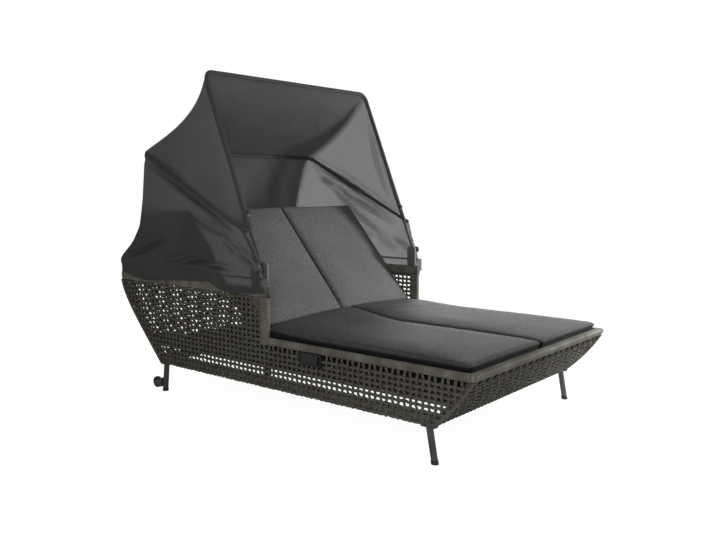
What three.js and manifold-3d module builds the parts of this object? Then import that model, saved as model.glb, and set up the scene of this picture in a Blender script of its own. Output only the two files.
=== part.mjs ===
// Outdoor daybed for two people: a rope-woven tray on four legs, two reclining backrests on gas
// struts, loose cushions, two small transport wheels and a cloth canopy on two folding bows.
// Millimetres, +Z up. The origin is on the floor under the middle of the daybed, +Y points to the
// head end and X runs across it.

import * as THREE from 'three';
import { mergeVertices } from 'three/addons/utils/BufferGeometryUtils.js';
import Module from 'manifold-3d';

const wasm = await Module();
wasm.setup();

// Clearances
const seatGap = 0.3;            // between parts that rest on each other
const swingGap = 2.5;           // between parts that turn past each other
const runGap = 0.5;             // round a pin in its hole
const overrun = 5;              // how far a cutter reaches past what it cuts
const rodSides = 12;

// Woven tray: its wrapped tubes and woven panels
const bedWidth = 1200;
const bedLength = 2218;
const clothThickness = 5.7;
const rimWidth = 26;            // side rims, across the bed
const endRimWidth = 45;         // front and rear rims, along the bed
const lowRimTop = 380;
const lowRimHeight = 35;
const tallRimTop = 610;
const tallRimHeight = 50;
const railBottom = 150;
const railHeight = 40;
const railWidth = 40;
const stepFromFront = 1084;     // front edge of the tray to the front face of the step posts
const postDepth = 52;
const frontSetback = 187;       // how far the tray leans out at its front
const rearSetback = 330;        // and at its rear
const stileDepth = 40;
const tubeRound = 12;
const netThickness = 10;
const netInset = 2;
const frontLeanShares = [[0.40, 0.29], [0.73, 0.62]];
const rearLeanShares = [[0.667, 0.523], [1.0, 0.77]];
const profileSteps = 9;
const profileSearchSteps = 40;
const netBandShare = 0.42;      // width of a band over the pitch of the bands
const netEndGap = 4;
const lowNetCounts = [9, 3];      // gaps along the panel and up it
const tallNetCounts = [9, 4];
const frontNetCounts = [7, 3];
const rearNetCounts = [7, 4];

// Deck inside the tray
const deckRailWidth = 40;
const deckRailHeight = 62;
const deckThickness = 15;
const deckTop = 308;
const deckSlatWidth = 66;
const deckGapCount = 7;         // gaps between its cross slats
const hingeRailDepth = 40;
const hingeRailHeight = 32;
const hingeRailFromHinge = 105; // front face of the hinge rail to the hinge line
const rearCrossFromPanel = 152; // rear panel to the rear face of the rear cross tube
const slatShare = 0.45;
const deckRound = 3;
const deckBorder = 50;
const deckColumns = 4;

// Backrests and their hinge
const hingeBehindStep = 88;     // post front face to the hinge line
const hingeHeight = 300;
const backAngle = 49.5;         // above horizontal, as it stands
const hingeRodRadius = 6;
const knuckleRadius = 13;
const knuckleLength = 60;
const knuckleInsetShare = 0.2;
const lugThickness = 8;
const backFrameStart = 28;
const backFrameEnd = 745;
const backFrameBelow = 15;
const backFrameAbove = 5;
const backFrameFromSide = 95;   // outer side of the tray to the backrest frame
const backFrameInner = 6;
const backBorder = 30;
const backGapCount = 6;

// Gas struts
const strutOffsetShare = 0.5;   // of half the width, from the middle of the bed
const crankLength = 80;
const crankLean = 27.5;         // crank leans this far forward of straight down when the back is flat
const crankPlate = 5;
const crankWidth = 22;
const strutPinRadius = 4;
const eyeWidth = 14;
const eyeLength = 22;
const eyeHeight = 34;
const eyeSlotHeight = 23;
const eyeSlotLength = 10.6;
const strutRodRadius = 5;
const strutTubeRadius = 11;
const strutMouthFromHinge = 120;
const strutBoreLength = 145;
const strutRodInside = 48;
const strutFootLength = 26;
const strutFootSlat = 4;        // the deck slat, counted from the front, that carries the foot

// Cushions
const cushionSideGap = 8;       // to the inner face of the rim
const cushionInner = 3;
const seatCushionFromFront = 50;
const seatCushionRear = 38;     // past the front face of the step posts
const seatEdgeHeight = 92;
const seatCrown = 26;
const seatRearRise = 10;
const backCushionStart = 72;
const backCushionEnd = 765;
const backEdgeHeight = 90;
const backCrown = 24;
const cushionRound = 34;
const cushionLeastCorner = 8.5;
const cushionDrawIn = 7;
const cushionSideSteps = 5;
const cushionCornerSteps = 2;
const cushionRings = [
  { insetShare: 0.42, heightShare: 0, crownShare: 0 },
  { insetShare: 0.10, heightShare: 0.16, crownShare: 0 },
  { insetShare: 0, heightShare: 0.5, crownShare: 0 },
  { insetShare: 0.06, heightShare: 0.84, crownShare: 0 },
  { insetShare: 0.42, heightShare: 1, crownShare: 0 },
  { insetShare: 1.6, heightShare: 1, crownShare: 0.5 },
  { insetShare: 4.0, heightShare: 1, crownShare: 0.92 },
];

// Legs and wheels
const legInset = 15;            // side of the tray to the middle of the leg
const legRadius = 14;
const legPlateSize = 66;
const legPlateThickness = 6;
const legSides = 16;
const frontLegTop = 28;         // from the tray's front bottom edge to the middle of the leg's top
const frontLegSplay = 28;
const rearLegTop = 38;
const rearLegSplay = 17;
const wheelRadius = 29;
const wheelWidth = 22;
const wheelLift = 8;
const wheelBehindFoot = 65;
const wheelHubRadius = 11;
const wheelHubProud = 0.8;
const wheelSides = 16;
const wheelShares = {           // of its radius and of its width
  webWidth: 0.56,
  tyreInner: 0.7,
  tyreSide: 0.9,
  shoulder: 0.93,
  shoulderSide: 0.86,
  tread: 0.44,
};
const axleRadius = 5;
const forkPlate = 4;
const forkBoss = 12;
const forkHeight = 46;
const forkBottom = 22;

// Canopy bows and what carries them
const bowInset = 8;             // side of the tray to the middle of the front bow
const bowRadius = 9;
const bowBend = 45;
const bowPivotBehindStep = 41;
const bowPivotAboveRim = 90;
const bowLength = 960;
const bowAngle = 67.9;          // above horizontal, leaning back
const bowTail = 22;
const midBowRadius = 8;
const midBowBend = 30;
const midBowRivet = 175;        // up the front bow
const midBowLength = 830;
const midBowAngle = 26.5;
const midBowTail = 16;
const rivetRadius = 4;
const pivotBoltRadius = 5;
const bracketThickness = 12;
const bracketWidth = 52;
const bracketAbovePivot = 20;
const bracketRound = 16;
const knobRadius = 18;
const knobThickness = 9;
const knobSides = 24;
const bendSteps = 4;
const bowSectionSteps = 4;      // per half turn of its round section

// Canopy cloth
const clothStand = 15;          // from the middle of a bow to the cloth's inner face
const clothThin = 4;
const roofSag = 58;
const sideSag = 26;
const rearSag = 62;
const rearSideSag = 22;
const roofStart = 70;           // where the roof cloth starts, up each bow from the rivet
const foldDepth = 9;
const foldCount = 7;
const rearSagSkew = 0.35;       // how much deeper the rear sags towards the rim
const legClothSteps = 9;
const barClothSteps = 8;
const roofRows = 5;
const rearRows = 5;
const ringGapShare = 0.015;     // of the cloth, left out beside the mid bow
const hemDrop = 35;
const hemCorner = 42;
const hemProud = 0.7;           // how far the hem stands above the rim

// Release levers
const bezelFromStep = 196;      // post front face to the rear end of the bezel
const bezelLength = 126;
const bezelHeight = 54;
const bezelDepth = 26;
const bezelWall = 6;
const bezelProud = 1;
const bezelRound = 8;
const flapThickness = 6;
const flapFingerGap = 16;
const flapPinRadius = 3;
const flapBarrelRadius = 5.5;
const flapRidge = 5;
const flapRound = 2;

// Places that follow from the sizes above
const halfWidth = bedWidth / 2;
const hemStand = seatGap + clothThickness;
const frontY = -(bedLength + hemStand) / 2;
const rearY = frontY + bedLength;
const postFrontY = frontY + stepFromFront;
const postRearY = postFrontY + postDepth;
const railTop = railBottom + railHeight;
const lowRimBottom = lowRimTop - lowRimHeight;
const tallRimBottom = tallRimTop - tallRimHeight;
const innerX = halfWidth - rimWidth;
const cushionOuter = innerX - cushionSideGap;
const backFrameOuter = halfWidth - backFrameFromSide;
const strutOffset = halfWidth * strutOffsetShare;
const legX = halfWidth - legInset;
const bowX = halfWidth - bowInset;
const bowPivotHeight = tallRimTop + bowPivotAboveRim;
const netOuterX = halfWidth - netInset;
const netInnerX = netOuterX - netThickness;
const frontBottomY = frontY + frontSetback;
const rearBottomY = rearY - rearSetback;
const deckRailOuterX = innerX - seatGap;
const deckRailInnerX = deckRailOuterX - deckRailWidth;
const deckBottom = deckTop - deckThickness;
const deckRailTop = deckBottom - seatGap;
const deckRailBottom = deckRailTop - deckRailHeight;
const hingeY = postFrontY + hingeBehindStep;
const strutZ = hingeHeight - crankLength * Math.cos(THREE.MathUtils.degToRad(backAngle - crankLean));
const strutEyeY = hingeY + crankLength * Math.sin(THREE.MathUtils.degToRad(backAngle - crankLean));

const scene = new THREE.Group();

// Finishes
function finish(colour, roughness, metalness = 0) {
  return { color: colour, roughness, metalness };
}
const ropeFinish = finish(0x57544d, 0.85);
const rimFinish = finish(0x6b675e, 0.85);
const metalFinish = finish(0x3a3836, 0.5, 0.6);
const steelFinish = finish(0xb4b6b8, 0.3, 0.9);
const plasticFinish = finish(0x161616, 0.6);
const cushionFinish = finish(0x55565a, 0.95);
const clothFinish = finish(0x464646, 0.95);
const rubberFinish = finish(0x202020, 0.9);

function add(name, geometry, look, parent = scene) {
  const mesh = new THREE.Mesh(geometry, new THREE.MeshStandardMaterial(look));
  mesh.name = name;
  parent.add(mesh);
  return mesh;
}

// Solids joined and cut
function toManifold(geometry) {
  const bare = geometry.clone();
  bare.deleteAttribute('normal');
  bare.deleteAttribute('uv');
  const welded = mergeVertices(bare);
  const outward = facingOut([...welded.attributes.position.array], [...welded.index.array]);
  const vertProperties = new Float32Array(outward.attributes.position.array);
  const triVerts = new Uint32Array(outward.index.array);
  return new wasm.Manifold(new wasm.Mesh({ numProp: 3, vertProperties, triVerts }));
}

function fromManifold(solid) {
  const mesh = solid.getMesh();
  const geometry = new THREE.BufferGeometry();
  geometry.setAttribute('position', new THREE.BufferAttribute(new Float32Array(mesh.vertProperties), 3));
  geometry.setIndex(new THREE.BufferAttribute(new Uint32Array(mesh.triVerts), 1));
  geometry.computeVertexNormals();
  return geometry;
}

function fuse(...geometries) {
  return fromManifold(geometries.map(toManifold).reduce((whole, piece) => whole.add(piece)));
}

function cut(geometry, ...cutters) {
  const whole = toManifold(geometry);
  return fromManifold(cutters.map(toManifold).reduce((left, cutter) => left.subtract(cutter), whole));
}

// Prisms along an axis. The two outline directions are the other two axes, in the order X, Y, Z.
const axisTurn = {
  x: new THREE.Matrix4().set(0, 0, 1, 0, 1, 0, 0, 0, 0, 1, 0, 0, 0, 0, 0, 1),
  y: new THREE.Matrix4().set(0, 1, 0, 0, 0, 0, 1, 0, 1, 0, 0, 0, 0, 0, 0, 1),
  z: new THREE.Matrix4(),
};

function prism(axis, shape, [from, to]) {
  const settings = { depth: to - from, bevelEnabled: false, curveSegments: 1 };
  const geometry = new THREE.ExtrudeGeometry(shape, settings);
  geometry.translate(0, 0, from);
  return geometry.applyMatrix4(axisTurn[axis]);
}

function roundedShape([a0, a1], [b0, b1], round) {
  const shape = new THREE.Shape();
  shape.absarc(a1 - round, b0 + round, round, -Math.PI / 2, 0);
  shape.absarc(a1 - round, b1 - round, round, 0, Math.PI / 2);
  shape.absarc(a0 + round, b1 - round, round, Math.PI / 2, Math.PI);
  shape.absarc(a0 + round, b0 + round, round, Math.PI, Math.PI * 1.5);
  return shape;
}

function bar(axis, first, second, along, round) {
  const [a, b] = axis === 'y' ? [second, first] : [first, second];
  return prism(axis, roundedShape(a, b, round), along);
}

function outline(points) {
  return new THREE.Shape(points.map(([a, b]) => new THREE.Vector2(a, b)));
}

function rod(from, to, radius, sides = rodSides) {
  const start = new THREE.Vector3(...from);
  const axis = new THREE.Vector3(...to).sub(start);
  const geometry = new THREE.CylinderGeometry(radius, radius, axis.length(), sides);
  const upright = new THREE.Vector3(0, 1, 0);
  geometry.applyQuaternion(new THREE.Quaternion().setFromUnitVectors(upright, axis.clone().normalize()));
  const middle = start.addScaledVector(axis, 0.5);
  return geometry.translate(middle.x, middle.y, middle.z);
}

// A closed solid between two grids of points. near(i, j) and far(i, j) give the two skins, and
// isOpen(i, j) says which cells are left out, as the gaps of a woven panel are.
function gridSolid(columns, rows, near, far, isOpen = () => false) {
  const points = [];
  const id = (i, j, layer) => 2 * (i * (rows + 1) + j) + layer;
  for (let i = 0; i <= columns; i += 1) {
    for (let j = 0; j <= rows; j += 1) {
      points.push(...near(i, j), ...far(i, j));
    }
  }
  const faces = [];
  const quad = (a, b, c, d) => faces.push(a, b, c, a, c, d);
  const wall = ([i0, j0], [i1, j1]) => quad(id(i0, j0, 0), id(i0, j0, 1), id(i1, j1, 1), id(i1, j1, 0));
  const solid = (i, j) => i >= 0 && j >= 0 && i < columns && j < rows && !isOpen(i, j);
  for (let i = 0; i < columns; i += 1) {
    for (let j = 0; j < rows; j += 1) {
      if (!solid(i, j)) continue;
      quad(id(i, j, 0), id(i, j + 1, 0), id(i + 1, j + 1, 0), id(i + 1, j, 0));
      quad(id(i, j, 1), id(i + 1, j, 1), id(i + 1, j + 1, 1), id(i, j + 1, 1));
      if (!solid(i - 1, j)) wall([i, j], [i, j + 1]);
      if (!solid(i + 1, j)) wall([i + 1, j + 1], [i + 1, j]);
      if (!solid(i, j - 1)) wall([i + 1, j], [i, j]);
      if (!solid(i, j + 1)) wall([i, j + 1], [i + 1, j + 1]);
    }
  }
  return facingOut(points, faces);
}

// A geometry from points and faces, turned so that its faces point out.
function facingOut(points, faces) {
  const at = (index) => new THREE.Vector3().fromArray(points, 3 * index);
  let volume = 0;
  for (let f = 0; f < faces.length; f += 3) {
    volume += at(faces[f]).dot(at(faces[f + 1]).cross(at(faces[f + 2])));
  }
  if (volume < 0) faces.reverse();
  const geometry = new THREE.BufferGeometry();
  geometry.setAttribute('position', new THREE.Float32BufferAttribute(points, 3));
  geometry.setIndex(faces);
  geometry.computeVertexNormals();
  return geometry;
}

// Edges of evenly spaced bands from one end to the other: band, gap, band, ... band.
function bandEdges(from, to, gaps, band) {
  const pitch = (to - from - band) / gaps;
  const edges = [];
  for (let k = 0; k <= gaps; k += 1) {
    edges.push(from + k * pitch, from + k * pitch + band);
  }
  return edges;
}

const isGap = (i, j) => i % 2 === 1 && j % 2 === 1;

// The leaning front and rear of the tray: its outer face, as a depth for each height.
function leanCurve(bottomY, topY, topZ, shares) {
  const place = ([along, up]) => new THREE.Vector2(
    THREE.MathUtils.lerp(bottomY, topY, along),
    THREE.MathUtils.lerp(railBottom, topZ, up),
  );
  const [lower, upper] = shares.map(place);
  const curve = new THREE.CubicBezierCurve(place([0, 0]), lower, upper, place([1, 1]));
  return (z) => {
    let low = 0;
    let high = 1;
    for (let halving = 0; halving < profileSearchSteps; halving += 1) {
      const middle = (low + high) / 2;
      if (curve.getPoint(middle).y < z) low = middle;
      else high = middle;
    }
    return curve.getPoint(low).x;
  };
}
const frontFace = leanCurve(frontBottomY, frontY, lowRimTop - tubeRound, frontLeanShares);
const rearFace = leanCurve(rearBottomY, rearY, tallRimTop - tubeRound, rearLeanShares);
const frontLean = { face: frontFace, inward: 1 };
const rearLean = { face: rearFace, inward: -1 };

// A tube that follows the leaning face between two heights, running across the bed.
function leanBar(lean, [lowZ, highZ], innerFace, along, round) {
  const outer = [];
  for (let k = 0; k <= 2; k += 1) {
    const turn = (k * Math.PI) / 4;
    const z = lowZ + round * (1 - Math.sin(turn));
    outer.push([lean.face(z) + lean.inward * round * (1 - Math.cos(turn)), z]);
  }
  outer.reverse();
  const straight = [];
  for (let k = 1; k < profileSteps; k += 1) {
    const z = THREE.MathUtils.lerp(lowZ + round, highZ - round, k / profileSteps);
    straight.push([lean.face(z), z]);
  }
  const upper = [];
  for (let k = 0; k <= 2; k += 1) {
    const turn = (k * Math.PI) / 4;
    const z = highZ - round * (1 - Math.sin(turn));
    upper.push([lean.face(z) + lean.inward * round * (1 - Math.cos(turn)), z]);
  }
  const inner = [];
  for (let k = profileSteps; k >= 0; k -= 1) {
    const z = THREE.MathUtils.lerp(lowZ, highZ, k / profileSteps);
    inner.push([innerFace(z), z]);
  }
  return prism('x', outline([...outer, ...straight, ...upper, ...inner]), along);
}

// A tube along the bed whose ends lean with the faces that it meets.
function sideBar(xRange, zRange, startAt, endAt, round) {
  const geometry = bar('y', xRange, zRange, [0, 1], round);
  const place = geometry.attributes.position;
  for (let k = 0; k < place.count; k += 1) {
    const z = place.getZ(k);
    place.setY(k, THREE.MathUtils.lerp(startAt(z), endAt(z), place.getY(k)));
  }
  return geometry;
}

const mirrored = ([a, b], side) => (side < 0 ? [-b, -a] : [a, b]);
const sides = [['left', -1], ['right', 1]];
const across = [-halfWidth, halfWidth];

// Rims, posts, bottom rails and corner stiles of the tray. The rims have upright inner faces.
const behindFront = (depth) => (z) => frontFace(z) + depth;
const beforeRear = (depth) => (z) => rearFace(z) - depth;
const frontRimInner = () => frontY + endRimWidth;
const rearRimInner = () => rearY - endRimWidth;
const lowRimHeights = [lowRimBottom, lowRimTop];
const tallRimHeights = [tallRimBottom, tallRimTop];
const railHeights = [railBottom, railTop];
add('low_rim_front', leanBar(frontLean, lowRimHeights, frontRimInner, across, tubeRound), rimFinish);
add('tall_rim_rear', leanBar(rearLean, tallRimHeights, rearRimInner, across, tubeRound), rimFinish);
const frontRail = leanBar(frontLean, railHeights, behindFront(railWidth), across, tubeRound);
add('bottom_rail_front', frontRail, ropeFinish);
const rearRail = leanBar(rearLean, railHeights, beforeRear(railWidth), across, tubeRound);
add('bottom_rail_rear', rearRail, ropeFinish);

function stepPost(side) {
  const insetX = netInnerX - seatGap;
  const points = [
    [innerX, railTop + seatGap],
    [insetX, railTop + seatGap],
    [insetX, lowRimBottom],
    [halfWidth, lowRimBottom],
    [halfWidth, tallRimBottom - seatGap],
    [innerX, tallRimBottom - seatGap],
  ];
  const shape = outline(points.map(([x, z]) => [z, side * x]));
  return prism('y', shape, [postFrontY, postRearY]);
}

for (const [name, side] of sides) {
  const rimX = mirrored([innerX, halfWidth], side);
  const railX = mirrored([halfWidth - railWidth, halfWidth], side);
  const lowRimStart = () => frontRimInner() + seatGap;
  const lowRim = sideBar(rimX, lowRimHeights, lowRimStart, () => postFrontY - seatGap, tubeRound);
  add(`low_rim_${name}`, lowRim, rimFinish);
  const tallRimEnd = () => rearRimInner() - seatGap;
  const tallRim = sideBar(rimX, tallRimHeights, () => postFrontY, tallRimEnd, tubeRound);
  add(`tall_rim_${name}`, tallRim, rimFinish);
  const railStart = behindFront(railWidth + seatGap);
  const railEnd = beforeRear(railWidth + seatGap);
  add(`bottom_rail_${name}`, sideBar(railX, railHeights, railStart, railEnd, tubeRound), ropeFinish);
  add(`step_post_${name}`, stepPost(side), rimFinish);
  const frontHeights = [railTop + seatGap, lowRimBottom - seatGap];
  const rearHeights = [railTop + seatGap, tallRimBottom - seatGap];
  const frontStile = leanBar(frontLean, frontHeights, behindFront(stileDepth), rimX, tubeRound);
  add(`corner_stile_front_${name}`, frontStile, rimFinish);
  const rearStile = leanBar(rearLean, rearHeights, beforeRear(stileDepth), rimX, tubeRound);
  add(`corner_stile_rear_${name}`, rearStile, rimFinish);
}

// Woven panels: flat nets of wide bands. The low and tall side panels meet behind the step post,
// and the release lever sits in a cut-out of the low one.
const netLowZ = railTop + seatGap;

function net([columns, rows], place, offset) {
  const along = bandEdges(0, 1, columns, netBandShare / columns);
  const up = bandEdges(0, 1, rows, netBandShare / rows);
  const near = (i, j) => place(along[i], up[j]);
  const far = (i, j) => near(i, j).map((value, axis) => value + offset[axis]);
  return gridSolid(along.length - 1, up.length - 1, near, far, isGap);
}

function sideNet(gaps, side, startAt, endAt, highZ) {
  const place = (u, v) => {
    const z = THREE.MathUtils.lerp(netLowZ, highZ, v);
    return [side * netInnerX, THREE.MathUtils.lerp(startAt(z), endAt(z), u), z];
  };
  return net(gaps, place, [side * netThickness, 0, 0]);
}

function leanNet(gaps, lean, highZ) {
  const edge = innerX - seatGap;
  const place = (u, v) => {
    const z = THREE.MathUtils.lerp(netLowZ, highZ, v);
    return [THREE.MathUtils.lerp(-edge, edge, u), lean.face(z) + lean.inward * netInset, z];
  };
  return net(gaps, place, [0, lean.inward * netThickness, 0]);
}

const bezelRearY = postFrontY - bezelFromStep;
const bezelFrontY = bezelRearY - bezelLength;
const bezelTop = lowRimBottom - seatGap;
const bezelBottom = bezelTop - bezelHeight;
const lowNetTop = lowRimBottom - seatGap;
const tallNetTop = tallRimBottom - seatGap;

for (const [name, side] of sides) {
  const lowStart = behindFront(stileDepth + netEndGap);
  const tallEnd = beforeRear(stileDepth + netEndGap);
  const lowNet = sideNet(lowNetCounts, side, lowStart, () => postRearY, lowNetTop);
  const openX = mirrored([netInnerX - overrun, netOuterX + overrun], side);
  const openY = [bezelFrontY - seatGap, bezelRearY + seatGap];
  const openZ = [bezelBottom - seatGap, bezelTop + overrun];
  const opening = bar('x', openY, openZ, openX, bezelRound);
  add(`side_panel_low_${name}`, cut(lowNet, opening), ropeFinish);
  const tallNet = sideNet(tallNetCounts, side, () => postRearY + seatGap, tallEnd, tallNetTop);
  add(`side_panel_tall_${name}`, tallNet, ropeFinish);
}
add('front_panel', leanNet(frontNetCounts, frontLean, lowNetTop), ropeFinish);
add('rear_panel', leanNet(rearNetCounts, rearLean, tallNetTop), ropeFinish);

// Deck that carries the seat cushions: two long rails, a slatted deck and two cross tubes
const behindPanel = netInset + netThickness + seatGap;
const deckFrontY = frontFace(deckBottom) + behindPanel;
const hingeRailFrontY = hingeY - hingeRailFromHinge;
const hingeRailRearY = hingeRailFrontY + hingeRailDepth;
const hingeRailTop = hingeHeight - knuckleRadius - overrun;

for (const [name, side] of sides) {
  const railX = mirrored([deckRailInnerX, deckRailOuterX], side);
  const startAt = () => frontFace(deckRailBottom) + behindPanel;
  const endAt = () => rearFace(deckRailBottom) - behindPanel;
  const rail = sideBar(railX, [deckRailBottom, deckRailTop], startAt, endAt, deckRound);
  add(`deck_rail_${name}`, rail, metalFinish);
}

const slatEdges = bandEdges(deckFrontY, hingeRailRearY, deckGapCount, deckSlatWidth);
const deckEdgesX = bandEdges(-deckRailOuterX, deckRailOuterX, deckColumns, deckBorder);

// A flat panel of bands along and across, given as the edges of the bands each way
function slattedPanel(xEdges, yEdges, [lowZ, highZ]) {
  const block = ([x0, x1], [y0, y1], heights) => {
    return prism('z', outline([[x0, y0], [x1, y0], [x1, y1], [x0, y1]]), heights);
  };
  const gaps = [];
  for (let i = 1; i < xEdges.length - 1; i += 2) {
    for (let j = 1; j < yEdges.length - 1; j += 2) {
      const gapX = [xEdges[i], xEdges[i + 1]];
      const gapY = [yEdges[j], yEdges[j + 1]];
      gaps.push(block(gapX, gapY, [lowZ - overrun, highZ + overrun]));
    }
  }
  const plate = block([xEdges[0], xEdges.at(-1)], [yEdges[0], yEdges.at(-1)], [lowZ, highZ]);
  return cut(plate, ...gaps);
}
add('seat_deck', slattedPanel(deckEdgesX, slatEdges, [deckBottom, deckTop]), metalFinish);

const crossX = [-deckRailInnerX + seatGap, deckRailInnerX - seatGap];
const rearCrossY = rearFace(deckRailBottom) - behindPanel - rearCrossFromPanel;
const rearCrossTop = hingeHeight - backFrameBelow - seatGap;
const rearCrossDepth = [rearCrossY - hingeRailDepth, rearCrossY];
const rearCrossHeights = [rearCrossTop - hingeRailHeight, rearCrossTop];
add('rear_cross_tube', bar('x', rearCrossDepth, rearCrossHeights, crossX, deckRound), metalFinish);

// Where the hinge knuckles of one backrest stand across it: middle and half length of each
const backWidth = backFrameOuter - backFrameInner;
const crankKnuckle = crankPlate * 2 + eyeWidth;
const knuckles = [
  [backFrameInner + backWidth * knuckleInsetShare, knuckleLength / 2],
  [backFrameOuter - backWidth * knuckleInsetShare, knuckleLength / 2],
];

// Hinge rail with the lugs that hold the hinge rod
const onHinge = ([x0, x1], radius) => rod([x0, hingeY, hingeHeight], [x1, hingeY, hingeHeight], radius);

function hingeRail() {
  const low = hingeRailTop - hingeRailHeight;
  const tube = bar('x', [hingeRailFrontY, hingeRailRearY], [low, hingeRailTop], crossX, deckRound);
  const lugs = [];
  const boss = knuckleRadius * Math.SQRT1_2;
  const arm = outline([
    [hingeRailRearY - tubeRound, low + deckRound],
    [hingeY + boss, hingeHeight - boss],
    [hingeY - boss, hingeHeight + boss],
    [hingeRailRearY - tubeRound, hingeRailTop - deckRound],
  ]);
  for (const [, side] of sides) {
    for (const [middle, half] of knuckles) {
      const inner = middle + half + runGap;
      const x = mirrored([inner, inner + lugThickness], side);
      lugs.push(prism('x', arm, x));
      lugs.push(onHinge(x, knuckleRadius));
    }
  }
  return cut(fuse(tube, ...lugs), onHinge(crossX, hingeRodRadius + seatGap));
}
add('hinge_rail', hingeRail(), metalFinish);
add('hinge_rod', onHinge([-backFrameOuter, backFrameOuter], hingeRodRadius), steelFinish);

// Backrests, drawn flat from the hinge line and then leaned
const backWidthEdges = bandEdges(backFrameInner, backFrameOuter, 2, backBorder);
const backSlatWidth = (slatShare * (backFrameEnd - backFrameStart)) / backGapCount;
const backLengthEdges = bandEdges(backFrameStart, backFrameEnd, backGapCount, backSlatWidth);

function backFrame(side) {
  const xEdges = backWidthEdges.map((x) => side * x).sort((a, b) => a - b);
  const pieces = [slattedPanel(xEdges, backLengthEdges, [-backFrameBelow, backFrameAbove])];
  const reach = backFrameStart + backSlatWidth / 2;
  for (const [middle, half] of [...knuckles, [strutOffset, crankKnuckle / 2]]) {
    const x = mirrored([middle - half, middle + half], side);
    pieces.push(rod([x[0], 0, 0], [x[1], 0, 0], knuckleRadius));
    pieces.push(bar('x', [0, reach], [-knuckleRadius + seatGap, backFrameAbove - seatGap], x, seatGap));
  }
  const lean = THREE.MathUtils.degToRad(crankLean);
  const pin = [-crankLength * Math.sin(lean), -crankLength * Math.cos(lean)];
  for (const end of [-1, 1]) {
    const face = strutOffset + end * (crankKnuckle / 2);
    const back = face - end * crankPlate;
    const x = mirrored([Math.min(face, back), Math.max(face, back)], side);
    pieces.push(crankArm(pin, x));
  }
  const pinX = mirrored([strutOffset - crankKnuckle / 2, strutOffset + crankKnuckle / 2], side);
  const bore = rod([-halfWidth, 0, 0], [halfWidth, 0, 0], hingeRodRadius + runGap);
  const pinRod = rod([pinX[0], ...pin], [pinX[1], ...pin], strutPinRadius);
  return fuse(cut(fuse(...pieces), bore), pinRod);
}

// A plate with round ends from the hinge line to the strut pin
function crankArm(pin, x) {
  const half = crankWidth / 2;
  const turn = Math.atan2(pin[1], pin[0]);
  const shape = new THREE.Shape();
  shape.absarc(0, 0, half, turn + Math.PI / 2, turn + Math.PI * 1.5);
  shape.absarc(pin[0], pin[1], half, turn - Math.PI / 2, turn + Math.PI / 2);
  return prism('x', shape, x);
}

// A crowned cushion: rings of one outline, drawn in along its sides, from under edge to crown
function cushionOutline(halfX, halfY, inset) {
  const corner = Math.max(cushionRound - inset, cushionLeastCorner);
  const reachX = halfX - inset;
  const reachY = halfY - inset;
  const points = [];
  for (let turn = 0; turn < 4; turn += 1) {
    const angle = (turn * Math.PI) / 2;
    const along = turn % 2 ? reachX - corner : reachY - corner;
    const out = turn % 2 ? reachY : reachX;
    for (let k = 0; k < cushionSideSteps; k += 1) {
      const share = (2 * k) / cushionSideSteps - 1;
      const drawn = out - cushionDrawIn * (1 - share * share);
      points.push([angle, drawn, share * along]);
    }
    for (let k = 0; k < cushionCornerSteps; k += 1) {
      const bend = (k / cushionCornerSteps) * (Math.PI / 2);
      points.push([angle, out - corner + corner * Math.cos(bend), along + corner * Math.sin(bend)]);
    }
  }
  return points.map(([angle, out, along]) => [
    out * Math.cos(angle) - along * Math.sin(angle),
    out * Math.sin(angle) + along * Math.cos(angle),
  ]);
}

function cushion([x0, x1], [y0, y1], bottom, edge, crown, rise = 0) {
  const middle = [(x0 + x1) / 2, (y0 + y1) / 2];
  const half = [(x1 - x0) / 2, (y1 - y0) / 2];
  const riseAt = (y) => rise * ((y + half[1]) / (2 * half[1])) ** 2;
  const points = [];
  const faces = [];
  for (const { insetShare, heightShare, crownShare } of cushionRings) {
    for (const [x, y] of cushionOutline(half[0], half[1], insetShare * cushionRound)) {
      const height = (edge + riseAt(y)) * heightShare + crown * crownShare;
      points.push(middle[0] + x, middle[1] + y, bottom + height);
    }
  }
  const count = points.length / 3 / cushionRings.length;
  for (let ring = 0; ring < cushionRings.length - 1; ring += 1) {
    for (let k = 0; k < count; k += 1) {
      const a = ring * count + k;
      const b = ring * count + ((k + 1) % count);
      faces.push(a, b, b + count, a, b + count, a + count);
    }
  }
  const under = points.length / 3;
  points.push(middle[0], middle[1], bottom);
  points.push(middle[0], middle[1], bottom + edge + crown + riseAt(0));
  const last = (cushionRings.length - 1) * count;
  for (let k = 0; k < count; k += 1) {
    const next = (k + 1) % count;
    faces.push(under, next, k, under + 1, last + k, last + next);
  }
  return facingOut(points, faces);
}

for (const [name, side] of sides) {
  const back = new THREE.Group();
  back.position.set(0, hingeY, hingeHeight);
  back.rotation.x = THREE.MathUtils.degToRad(backAngle);
  scene.add(back);
  add(`backrest_frame_${name}`, backFrame(side), metalFinish, back);
  const x = mirrored([cushionInner, cushionOuter], side);
  const backLength = [backCushionStart, backCushionEnd];
  const backCushion = cushion(x, backLength, backFrameAbove + seatGap, backEdgeHeight, backCrown);
  add(`back_cushion_${name}`, backCushion, cushionFinish, back);
  const seatLength = [frontY + seatCushionFromFront, postFrontY + seatCushionRear];
  const seatCushion = cushion(x, seatLength, deckTop + seatGap, seatEdgeHeight, seatCrown, seatRearRise);
  add(`seat_cushion_${name}`, seatCushion, cushionFinish);
}

// Gas struts under the seat: the tube hangs from a deck slat, the rod's slotted eye takes the crank pin
const strutMouthY = hingeY - strutMouthFromHinge;
const strutFootY = (slatEdges[2 * strutFootSlat + 2] + slatEdges[2 * strutFootSlat + 3]) / 2;

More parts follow.
